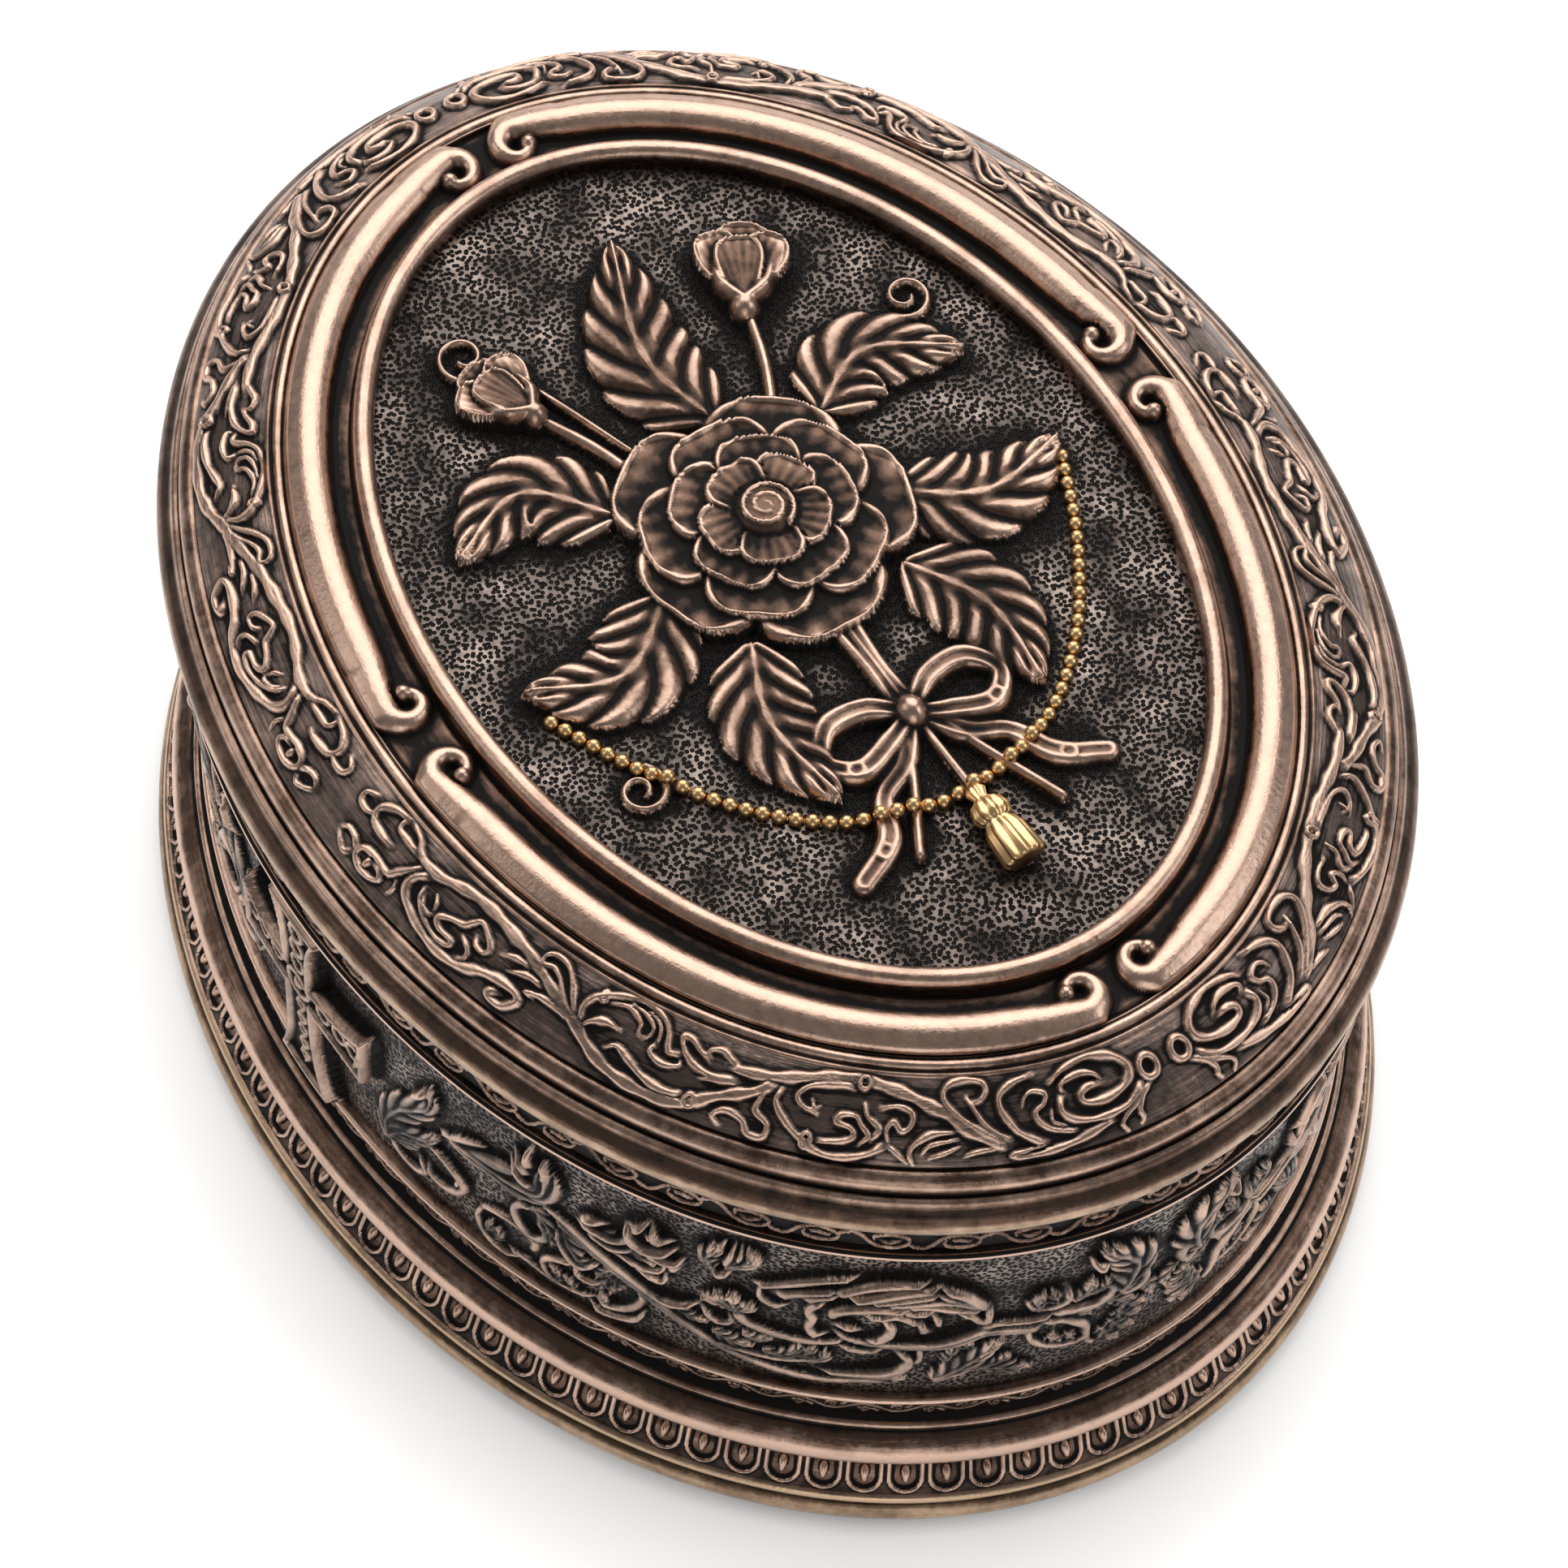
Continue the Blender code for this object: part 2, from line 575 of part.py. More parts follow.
def crosses():
    """A cross with flared ends at the middle of each long side."""
    half_bar = CROSS_BAR / 2
    half_flare = CROSS_FLARE / 2
    half_width = CROSS_WIDTH / 2
    tall = WALL_HEIGHT - 2 * CROSS_MARGIN
    arm = tall * CROSS_ARM_SHARE
    right = [(half_flare, 0), (half_bar, half_flare), (half_bar, arm - half_bar),
             (half_width - half_flare, arm - half_bar), (half_width, arm - half_flare),
             (half_width, arm + half_flare), (half_width - half_flare, arm + half_bar),
             (half_bar, arm + half_bar), (half_bar, tall - half_flare), (half_flare, tall)]
    outline = right + [(-across, up) for across, up in reversed(right)]
    count = len(outline)
    low, high = wall_face()
    quarter = oval_length(low[0]) / 4
    pieces = []
    for middle in (-quarter, quarter):
        rings = []
        for height in (-RELIEF_ROOT, CROSS_PROUD):
            rings.append([(middle + across, (up + CROSS_MARGIN) / WALL_HEIGHT, height)
                          for across, up in outline])
        points = on_wall(np.concatenate(rings), low, high)
        pieces.append((points, ring_faces(2, count, True)))
    return pieces


def stroke(path, radius, rise, sides):
    """A rod along a flat path, thinner and lower towards both of its ends."""
    swell = np.sin(np.linspace(0, math.pi, len(path)))
    taper = STROKE_END_SHARE + (1 - STROKE_END_SHARE) * swell
    return half_round(path, radius * taper, rise * taper ** 0.5, sides)


def evenly(path, count):
    """This many points spread evenly over the corners of a path."""
    path = np.array(path)
    corners = np.arange(len(path))
    places = np.linspace(0, len(path) - 1, count)
    return np.column_stack([np.interp(places, corners, path[:, axis]) for axis in (0, 1)])


def slid(shares):
    """Places of the frieze after its slide, which fades out at the two ends and at the foot."""
    shares = np.array(shares)
    slide = FRIEZE_SLIDE_SHARE * (1 - (2 * shares[..., 0] - 1) ** 4)
    drop = FRIEZE_DROP_SHARE * (1 - shares[..., 1] ** 6)
    return shares + np.stack([slide, drop], -1)


def frieze():
    """Acanthus scrolls on the wall: stems, leaves and curls, mirrored to each quarter."""
    low, high = wall_face()
    quarter = oval_length(low[0]) / 4
    spread = np.array([quarter, WALL_HEIGHT])
    flat_pieces = []
    for shares in STEM_SHARES:
        path = slid(shares) * spread
        flat_pieces.append(stroke(path, STEM_RADIUS, STEM_RISE, STROKE_SIDES))
    for shares in FRIEZE_LEAF_SHARES:
        path = slid(evenly(shares, FRIEZE_LEAF_POINTS)) * spread
        flat_pieces.append(stroke(path, FRIEZE_LEAF_RADIUS, FRIEZE_LEAF_RISE, STROKE_SIDES))
    turn = np.linspace(0, CURL_SWEEP, CURL_POINTS)
    circle = CURL_REACH * np.column_stack([np.cos(turn), np.sin(turn)])
    for share in CURL_SHARES:
        path = slid(share) * spread + circle
        flat_pieces.append(stroke(path, CURL_RADIUS, CURL_RISE, STROKE_SIDES))
    pieces = []
    for middle, sense in ((-quarter, 1), (-quarter, -1), (quarter, 1), (quarter, -1)):
        for points, faces in flat_pieces:
            placed = points * np.array([sense, -1 / WALL_HEIGHT, 1]) + np.array([middle, 1, 0])
            pieces.append((on_wall(placed, low, high), faces))
    return pieces


def rose():
    """Open rose: three rings of petals and a domed heart."""
    centre = np.array([-ROSE_SHIFT, 0])
    pieces = []
    rings = ((0, OUTER_PETAL, OUTER_PETAL_RISE), (1, MIDDLE_PETAL, MIDDLE_PETAL_RISE),
             (0, INNER_PETAL, INNER_PETAL_RISE))
    step = FULL_TURN / PETAL_COUNT
    for shift, length, rise in rings:
        for petal in range(PETAL_COUNT):
            turn = step * (petal + shift / 2)
            pieces.append(dome(centre, turn, length, length * PETAL_WIDTH_SHARE, rise,
                               PETAL_POINT_SHARE))
    left = centre - np.array([HEART_RADIUS, 0])
    pieces.append(dome(left, 0, 2 * HEART_RADIUS, 2 * HEART_RADIUS, HEART_RISE, 0))
    return pieces


def spray():
    """Leaves, stems, buds and tied ribbon round the rose, and the garland with its tassel."""
    edge = lid_outside()[-1][0]
    spread = np.array([HALF_LENGTH + edge, HALF_WIDTH + edge])
    pieces = []
    for shares in SPRAY_LEAF_SHARES:
        path = evenly(shares, SPRAY_LEAF_POINTS) * spread
        pieces.append(stroke(path, SPRAY_LEAF_RADIUS, SPRAY_LEAF_RISE, LEAF_SIDES))
    for shares in SPRAY_STEM_SHARES:
        path = np.array(shares) * spread
        pieces.append(stroke(path, SPRAY_STEM_RADIUS, SPRAY_STEM_RISE, STROKE_SIDES))
    for share, turn, length in zip(BUD_SHARES, BUD_TURNS, BUD_LENGTHS):
        pieces.append(dome(np.array(share) * spread, turn, length, length * BUD_WIDTH_SHARE,
                           BUD_RISE, PETAL_POINT_SHARE))
    for side in (-1, 1):
        for shares in RIBBON_SHARES:
            path = np.array(shares) * spread * np.array([1, side])
            pieces.append(stroke(path, RIBBON_RADIUS, RIBBON_RISE, STROKE_SIDES))
    knot = np.array(RIBBON_SHARES[0][0]) * spread - np.array([KNOT_RADIUS, 0])
    pieces.append(dome(knot, 0, 2 * KNOT_RADIUS, 2 * KNOT_RADIUS, KNOT_RISE, 0))
    right = np.array(GARLAND_SHARES) * spread
    left = right[:-1] * np.array([1, -1])
    pieces.append(stroke(np.concatenate([left, right[::-1]]), GARLAND_RADIUS, GARLAND_RISE,
                         STROKE_SIDES))
    tassel = np.array([TASSEL_SHARE, 0]) * spread
    pieces.append(dome(tassel, 0, TASSEL_LENGTH, TASSEL_WIDTH, TASSEL_RISE, 0))
    return pieces


def raised(pieces, height):
    """Relief pieces moved up to the height of the face that carries them."""
    return [(points + np.array([0, 0, height]), faces) for points, faces in pieces]


def felt_pad(name, offset, bottom):
    """An oval of felt lying flat."""
    return swept(name, [(offset, bottom), (offset, bottom + FELT_THICKNESS)])


def felt_strip(name, offset, bottom, top):
    """A strip of felt standing on edge round the oval, its outer face at the offset."""
    inner = offset - FELT_THICKNESS
    return swept_ring(name, [(offset, bottom), (offset, top), (inner, top), (inner, bottom)])


def build():
    """Make every piece of the box."""
    for thing in list(bpy.data.objects):
        bpy.data.objects.remove(thing)
    bronze = finish("cast_bronze_resin", (0.19, 0.135, 0.105), 0.38, 0.75)
    felt = finish("dark_felt", (0.020, 0.018, 0.018), 0.95, 0.0)

    base = swept("base_shell", base_outline())
    united(base, relief("base_relief", tongues() + crosses() + frieze()))
    smooth(base, bronze)

    lid = swept("lid_shell", lid_outline())
    panel = lid_outside()[-1][1]
    united(lid, relief("lid_relief", rolls() + raised(rose() + spray(), panel)))
    smooth(lid, bronze)

    ceiling = panel - LID_THICKNESS
    foot = FOOT_REACH - FOOT_BEAD_BULGE - FOOT_FELT_MARGIN
    floor = LINING_OUTSIDE - FELT_THICKNESS - SEAT_GAP
    floor_bottom = FLOOR_TOP + SEAT_GAP
    ceiling_edge = LIP_INSIDE - CEILING_FILLET - LID_FELT_MARGIN
    ceiling_bottom = ceiling - SEAT_GAP - FELT_THICKNESS
    smooth(felt_pad("foot_felt", foot, 0), felt)
    smooth(felt_pad("floor_lining", floor - FLOOR_FILLET, floor_bottom), felt)
    smooth(felt_strip("wall_lining", LINING_OUTSIDE, FLOOR_TOP + FLOOR_FILLET, LINING_TOP), felt)
    smooth(felt_pad("lid_lining", ceiling_edge, ceiling_bottom), felt)

    lid_axis = bpy.data.objects.new("lid_axis", None)
    bpy.context.scene.collection.objects.link(lid_axis)
    lid.parent = lid_axis
    bpy.data.objects["lid_lining"].parent = lid_axis


build()
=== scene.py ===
import math

import bpy
import numpy as np
from mathutils import Matrix, Vector


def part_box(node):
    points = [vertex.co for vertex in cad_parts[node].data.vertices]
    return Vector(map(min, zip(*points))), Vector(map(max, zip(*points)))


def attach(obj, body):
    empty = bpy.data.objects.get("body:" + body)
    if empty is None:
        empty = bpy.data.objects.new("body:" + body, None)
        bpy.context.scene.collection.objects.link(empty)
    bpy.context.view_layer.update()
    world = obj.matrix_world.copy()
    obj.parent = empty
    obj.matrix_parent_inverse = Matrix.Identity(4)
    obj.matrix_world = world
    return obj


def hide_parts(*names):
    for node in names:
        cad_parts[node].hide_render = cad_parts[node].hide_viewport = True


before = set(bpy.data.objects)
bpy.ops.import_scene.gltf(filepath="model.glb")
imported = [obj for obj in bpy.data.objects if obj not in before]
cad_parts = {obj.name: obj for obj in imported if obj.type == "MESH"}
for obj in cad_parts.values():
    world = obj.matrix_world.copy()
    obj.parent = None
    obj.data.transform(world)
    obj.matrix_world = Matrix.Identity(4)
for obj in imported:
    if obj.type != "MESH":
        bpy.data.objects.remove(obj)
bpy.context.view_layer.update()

# The studio: a plain pale floor under broad, soft lamps, which the camera sees as white but for
# the box's shadow. The camera looks down from the box's front right corner, through a long lens.
FLOOR_SIZE = 2.4
FLOOR_COLOUR = (0.88, 0.88, 0.88, 1)
FLOOR_GLOW = 0.66
CONTACT_REACH = 0.012
WORLD_LEVEL = 0.19
CAMERA_AZIMUTH, CAMERA_ELEVATION, CAMERA_ROLL = 53.71, 60.53, 3.90
CAMERA_DISTANCE = 0.400
CAMERA_LENS = 122.4
CAMERA_SHIFT = (0.0152, 0.0833)
LAMPS = {
    # name: azimuth, elevation, distance, size, power, colour
    "back_softbox": (236, 50, 0.75, 0.90, 6.0, (1.0, 0.985, 0.965)),
    "left_softbox": (-35, 36, 0.75, 0.36, 0.45, (1.0, 0.97, 0.93)),
    "right_softbox": (142, 38, 0.75, 0.36, 0.8, (0.98, 0.99, 1.0)),
    "front_softbox": (58, 16, 0.75, 0.40, 0.7, (1.0, 0.98, 0.95)),
}


def aimed(thing, azimuth, elevation, distance, roll=0.0):
    """Put a camera or lamp at this azimuth, elevation and distance, aimed at the origin."""
    azimuth, elevation, roll = (math.radians(angle) for angle in (azimuth, elevation, roll))
    flat = math.cos(elevation)
    away = Vector((math.sin(azimuth) * flat, -math.cos(azimuth) * flat, math.sin(elevation)))
    thing.location = away * distance
    turn = (-away).to_track_quat("-Z", "Y").to_matrix()
    thing.rotation_euler = (turn @ Matrix.Rotation(roll, 3, "Z")).to_euler()
    bpy.context.scene.collection.objects.link(thing)


camera_data = bpy.data.cameras.new("camera")
camera_data.lens = CAMERA_LENS
camera_data.shift_x, camera_data.shift_y = CAMERA_SHIFT
camera_data.clip_start, camera_data.clip_end = 0.01, 10.0
camera = bpy.data.objects.new("camera", camera_data)
aimed(camera, CAMERA_AZIMUTH, CAMERA_ELEVATION, CAMERA_DISTANCE, CAMERA_ROLL)
bpy.context.scene.camera = camera
bpy.context.scene.view_settings.view_transform = "Standard"

for name, (azimuth, elevation, distance, size, power, colour) in LAMPS.items():
    lamp_data = bpy.data.lights.new(name, "AREA")
    lamp_data.size = size
    lamp_data.energy = power
    lamp_data.color = colour
    aimed(bpy.data.objects.new(name, lamp_data), azimuth, elevation, distance)

world = bpy.data.worlds.new("studio")
bpy.context.scene.world = world
world.use_nodes = True
world.node_tree.nodes["Background"].inputs["Color"].default_value = (1, 1, 1, 1)
world.node_tree.nodes["Background"].inputs["Strength"].default_value = WORLD_LEVEL

floor_mesh = bpy.data.meshes.new("floor")
reach = FLOOR_SIZE / 2
floor_mesh.from_pydata([(-reach, -reach, 0), (reach, -reach, 0), (reach, reach, 0),
                        (-reach, reach, 0)], [], [(0, 1, 2, 3)])
floor = bpy.data.objects.new("floor", floor_mesh)
bpy.context.scene.collection.objects.link(floor)


def new_material(name):
    """A new material with its node tree and its Principled shader."""
    material = bpy.data.materials.new(name)
    material.use_nodes = True
    tree = material.node_tree
    return material, tree, tree.nodes["Principled BSDF"]


def wire(tree, kind, output, inputs, **settings):
    """Add a node and give back one output; each input takes a plain value or another output."""
    node = tree.nodes.new("ShaderNode" + kind)
    for key, value in settings.items():
        setattr(node, key, value)
    for key, value in inputs.items():
        if isinstance(value, bpy.types.NodeSocket):
            tree.links.new(value, node.inputs[key])
        else:
            node.inputs[key].default_value = value
    return node.outputs[output]


def white_paper():
    """Floor paper that camera, glossy and transmission rays see glow white, but for shadows.

    The glow is FLOOR_GLOW x the share of the sky that the box leaves open near by, so
    it fades into a painted contact shadow round the box.
    """
    material, tree, shader = new_material("white_paper")
    shader.inputs["Base Color"].default_value = FLOOR_COLOUR
    shader.inputs["Roughness"].default_value = 0.9
    seen = wire(tree, "LightPath", "Is Camera Ray", {})
    rays = seen.node.outputs
    for key in ("Is Glossy Ray", "Is Transmission Ray"):
        seen = wire(tree, "Math", "Value", {0: seen, 1: rays[key]}, operation="MAXIMUM")
    # Ambient occlusion dims the glow round the box: a painted contact shadow.
    open_sky = wire(tree, "AmbientOcclusion", "AO", {"Distance": CONTACT_REACH})
    glow = wire(tree, "Math", "Value", {0: open_sky, 1: FLOOR_GLOW}, operation="MULTIPLY")
    strength = wire(tree, "Math", "Value", {0: glow, 1: seen}, operation="MULTIPLY")
    shader.inputs["Emission Color"].default_value = (1, 1, 1, 1)
    tree.links.new(strength, shader.inputs["Emission Strength"])
    return material


floor_mesh.materials.append(white_paper())


# The base casting: a footed oval tray of resin filled with bronze powder, poured in one piece
# from a mould, then washed with dark patina and rubbed back to copper on its raised parts.
MM = 0.001
HALF_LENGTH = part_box("lid_shell")[1].x
HALF_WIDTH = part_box("lid_shell")[1].y
FULL_TURN = 2 * math.pi
ROUND_COUNT = 420
CORNER = 0.07


def round_oval(angle, outline):
    """Grid of points: each (offset, height) of an outline carried to each angle of the oval.

    The rim oval's point at an angle a is (half length x cos a, half width x sin a). An offset
    moves it along the oval's own outward normal, (half width x cos a, half length x sin a)
    made one long.
    """
    point = np.stack([HALF_LENGTH * np.cos(angle), HALF_WIDTH * np.sin(angle)], -1)
    normal = np.stack([HALF_WIDTH * np.cos(angle), HALF_LENGTH * np.sin(angle)], -1)
    normal /= np.linalg.norm(normal, axis=-1, keepdims=True)
    outline = np.broadcast_to(outline, (len(angle),) + outline.shape[-2:])
    flat = point[:, None] + normal[:, None] * outline[..., :1]
    return np.concatenate([flat, outline[..., 1:]], axis=2)


def round_angles(count):
    """This many angles, evenly spaced once round."""
    return np.arange(count) * FULL_TURN / count


def travelled(line):
    """Distance along a line from its first point to each of its points."""
    return np.concatenate([[0], np.cumsum(np.linalg.norm(np.diff(line, axis=0), axis=1))])


def oval_travel(offset, angle):
    """Distance along the oval at this offset, in metres, from the first angle to each one."""
    return travelled(round_oval(angle, np.array([[offset, 0.0]]))[:, 0])


def arc(start, end, bulge, steps=10):
    """Points after start, up to end, on the arc that stands this far off their straight line."""
    start, end = np.array(start), np.array(end)
    run = end - start
    chord = np.linalg.norm(run)
    side = np.array([run[1], -run[0]]) / chord
    half_angle = 2 * math.atan2(2 * abs(bulge), chord)
    radius = chord / (2 * math.sin(half_angle))
    angle = half_angle * (2 * np.arange(1, steps + 1) / steps - 1)
    along = chord / 2 + radius * np.sin(angle)
    off = np.copysign(radius * (np.cos(angle) - math.cos(half_angle)), bulge)
    return list(start + np.outer(along, run / chord) + np.outer(off, side))


def moulding(stretches, step=0.9):
    """Outline in metres from points and arcs in mm, cut into steps, with points by each corner.

    A stretch of two numbers is a corner; a third number makes it the end of an arc that bulges
    that far. The points close to a corner keep its shading crisp.
    """
    points = [np.array(stretches[0])]
    for stretch in stretches[1:]:
        start, end = points[-1], np.array(stretch[:2])
        if len(stretch) == 3:
            points += arc(start, end, stretch[2])
            continue
        length = np.linalg.norm(end - start)
        inset = min(CORNER, length / 4) / length
        count = max(1, round(length / step))
        share = np.concatenate([[inset], np.arange(1, count) / count, [1 - inset, 1]])
        share = np.unique(share[(share >= inset) & ((share <= 1 - inset) | (share == 1))])
        points += list(start + np.outer(share, end - start))
    return np.array(points) * MM


def crest_of(outline, reach):
    """How far each point of an outline stands out: 1 far out, -1 far in.

    It is the distance, along the outline's normal, from the average of the outline near by,
    weighted by exp(-(travel / reach)^2), over 0.28 x reach.
    """
    travel = travelled(outline)
    weight = np.exp(-((travel[:, None] - travel[None]) / reach) ** 2) * np.gradient(travel)
    average = weight @ outline / weight.sum(1, keepdims=True)
    tangent = np.gradient(outline, axis=0)
    side = np.column_stack([tangent[:, 1], -tangent[:, 0]])
    side /= np.linalg.norm(side, axis=1, keepdims=True) + 1e-12
    return ((outline - average) * side).sum(1) / (0.28 * reach)


def new_piece(name, points, faces, flat_faces=(), **values):
    """A closed mesh turned to face outwards, smooth but for its flat faces, with its values.

    Six times the volume is the sum over its triangles of first . (second x third). A negative
    one means that the faces look inwards, and they are reversed.
    """
    triangles = np.array([(face[0], face[k], face[k + 1])
                          for face in flat_faces for k in range(1, len(face) - 1)], int)
    first = np.concatenate([faces[:, [0, 1, 2]], faces[:, [0, 2, 3]], triangles.reshape(-1, 3)])
    corner = points[first]
    volume = (corner[:, 0] * np.cross(corner[:, 1], corner[:, 2])).sum()
    turn = -1 if volume < 0 else 1
    mesh = bpy.data.meshes.new(name)
    mesh.from_pydata(points, [], faces[:, ::turn].tolist() + [list(f)[::turn] for f in flat_faces])
    mesh.shade_smooth()
    edge_of_corner = np.empty(len(mesh.loops), np.int32)
    mesh.loops.foreach_get("edge_index", edge_of_corner)
    sharp = np.zeros(len(mesh.edges), bool)
    sharp[edge_of_corner[faces.size:]] = True
    mesh.attributes.new("sharp_edge", "BOOLEAN", "EDGE").data.foreach_set("value", sharp)
    for key, value in values.items():
        mesh.attributes.new(key, "FLOAT", "POINT").data.foreach_set("value", value.ravel())
    piece = bpy.data.objects.new(name, mesh)
    bpy.context.scene.collection.objects.link(piece)
    return piece


def banded(outline, bands):
    """Amount of the last band (lowest height, highest height in mm, amount) at each point.

    A band also takes in points up to 0.01 mm outside it.
    """
    height = outline[:, 1] / MM
    amount = np.zeros(len(outline))
    for low, high, value in bands:
        amount[(height > low - 0.01) & (height < high + 0.01)] = value
    return amount


def carried_round(name, points, **values):
    """A grid of points closed round the oval, with a flat face at each end of its outline."""
    index = np.arange(points[..., 0].size).reshape(points.shape[:2])
    after = np.roll(index, -1, axis=0)
    faces = np.stack([index[:, :-1], after[:, :-1], after[:, 1:], index[:, 1:]], -1)
    return new_piece(name, points.reshape(-1, 3), faces.reshape(-1, 4),
                     [index[::-1, 0].tolist(), index[:, -1].tolist()], **values)


def turned_oval(name, outline, crest_reach, painted_light_bands=(), beads=()):
    """A moulding carried once round the oval, with its values for the patina.

    The third argument holds height bands of painted shade (a negative amount) and painted
    highlight (a positive one), added to the crest, and beads are bands that are rubbed golden.
    """
    # The bands add painted shade and painted highlight to the crest that the patina reads.
    values = {"crest": crest_of(outline, crest_reach) + banded(outline, painted_light_bands),
              "across": travelled(outline), "golden": banded(outline, beads)}
    values = {key: np.tile(value, (ROUND_COUNT, 1)) for key, value in values.items()}
    return carried_round(name, round_oval(round_angles(ROUND_COUNT), outline), **values)


# The patina's own numbers: pits and noises are counts over a metre, bumps are metres.
PITS_PER_METRE = 2650
STREAK_STRETCH, STREAKS_PER_METRE = 150.0, 3600.0
BLOTCH_SCALE, FLECK_SCALE, SKIN_SCALE = 260, 1400, 2600
SKIN_BUMP, STREAK_BUMP, PIT_BUMP = 0.00004, 0.00005, 0.00020
GROUND_SINK, RIDGE_GAIN = -0.34, 0.60
GOLDEN_BRONZE, GOLDEN_COPPER = (0.125, 0.082, 0.050, 1), (0.50, 0.355, 0.225, 1)
GROUND_BRONZE, GROUND_COPPER = (0.112, 0.091, 0.080, 1), (0.44, 0.355, 0.305, 1)
DARK_SHINE = 0.05


def rubbed_bronze_group():
    """Patina over bronze resin: dark where the surface lies low, rubbed copper where it stands.

    Where Pebbles is 1 the ground is greyer and punched with round pits, each one a dip round a
    point scattered over (Along, Across). Streaks are fine brushed lines along a moulding: noise
    over (place x STREAK_STRETCH, Across x STREAKS_PER_METRE), which varies slowly along the
    moulding and fast over it. Golden turns the bronze olive. On the turned mouldings the Crest
    also holds bands of painted shade and painted highlight.
    """
    group = bpy.data.node_groups.new("rubbed_bronze", "ShaderNodeTree")
    for kind, keys in (("Float", ("Crest", "Pebbles", "Along", "Across", "Golden", "Wear",
                                  "Streaks")), ("Color", ("Dark", "Bronze", "Copper"))):
        for key in keys:
            group.interface.new_socket(key, in_out="INPUT", socket_type="NodeSocket" + kind)
    for key, kind in (("Color", "Color"), ("Metallic", "Float"), ("Roughness", "Float"),
                      ("Normal", "Vector")):
        group.interface.new_socket(key, in_out="OUTPUT", socket_type="NodeSocket" + kind)
    ins = group.nodes.new("NodeGroupInput").outputs
    outs = group.nodes.new("NodeGroupOutput").inputs
    place = wire(group, "TexCoord", "Object", {})

    def noise(scale, detail, roughness, vector=place):
        return wire(group, "TexNoise", "Fac", {"Scale": scale, "Detail": detail,
                                               "Roughness": roughness, "Vector": vector})

    def spread(value, low, high, out_low, out_high):
        return wire(group, "MapRange", "Result", {
            "From Min": low, "From Max": high, "To Min": out_low, "To Max": out_high,
            "Value": value})

    def maths(operation, first, second):
        return wire(group, "Math", "Value", {0: first, 1: second}, operation=operation)

    def total(first, *others):
        for other in others:
            first = maths("ADD", first, other)
        return first

    def mixed(amount, first, second):
        return wire(group, "Mix", 2, {0: amount, 6: first, 7: second}, data_type="RGBA")

    def bumped(height, distance, strength, **normal):
        return wire(group, "Bump", "Normal", {"Distance": distance, "Strength": strength,
                                              "Height": height, **normal})

    flat = wire(group, "SeparateXYZ", "X", {0: place}).node.outputs
    lined = wire(group, "CombineXYZ", "Vector", {
        "X": maths("MULTIPLY", flat["X"], STREAK_STRETCH),
        "Y": maths("MULTIPLY", flat["Y"], STREAK_STRETCH),
        "Z": maths("MULTIPLY", ins["Across"], STREAKS_PER_METRE)})
    streak = spread(noise(1, 4, 0.7, lined), 0.3, 0.7, -1, 1)
    streak = maths("MULTIPLY", streak, ins["Streaks"])

    laid = wire(group, "CombineXYZ", "Vector", {"X": ins["Along"], "Y": ins["Across"]})
    from_pit = wire(group, "TexVoronoi", "Distance", {
        "Scale": PITS_PER_METRE, "Randomness": 0.85, "Vector": laid}, voronoi_dimensions="2D")
    ridge = maths("MULTIPLY", spread(from_pit, 0.26, 0.44, 0, 1), ins["Pebbles"])

    blotch = spread(noise(BLOTCH_SCALE, 4, 0.6), 0.35, 0.65, -0.10, 0.10)
    fleck = noise(FLECK_SCALE, 3, 0.6)
    ground = maths("MULTIPLY", maths("ADD", blotch, GROUND_SINK), ins["Pebbles"])
    rubbed = total(spread(ins["Crest"], -1, 1, 0, 1), blotch, spread(fleck, 0.3, 0.7, -0.06, 0.06),
                   ins["Wear"], streak, ground, maths("MULTIPLY", ridge, RIDGE_GAIN))
    low = spread(rubbed, 0.24, 0.52, 0, 1)
    high = spread(rubbed, 0.57, 0.92, 0, 1)
    bronze = mixed(ins["Pebbles"], mixed(ins["Golden"], ins["Bronze"], GOLDEN_BRONZE),
                   GROUND_BRONZE)
    copper = mixed(ins["Pebbles"], mixed(ins["Golden"], ins["Copper"], GOLDEN_COPPER),
                   GROUND_COPPER)
    rough = total(spread(low, 0, 1, 0.52, 0.31), spread(fleck, 0.3, 0.7, -0.05, 0.07))
    skin = bumped(noise(SKIN_SCALE, 3, 0.6), SKIN_BUMP, 0.8)
    brushed = bumped(streak, STREAK_BUMP, 1.0, Normal=skin)
    for key, value in (("Color", mixed(high, mixed(low, ins["Dark"], bronze), copper)),
                       ("Metallic", spread(low, 0, 1, 0.12, 1.0)), ("Roughness", rough),
                       ("Normal", bumped(ridge, PIT_BUMP, 1.0, Normal=brushed))):
        group.links.new(value, outs[key])
    return group


rubbed_bronze = rubbed_bronze_group()


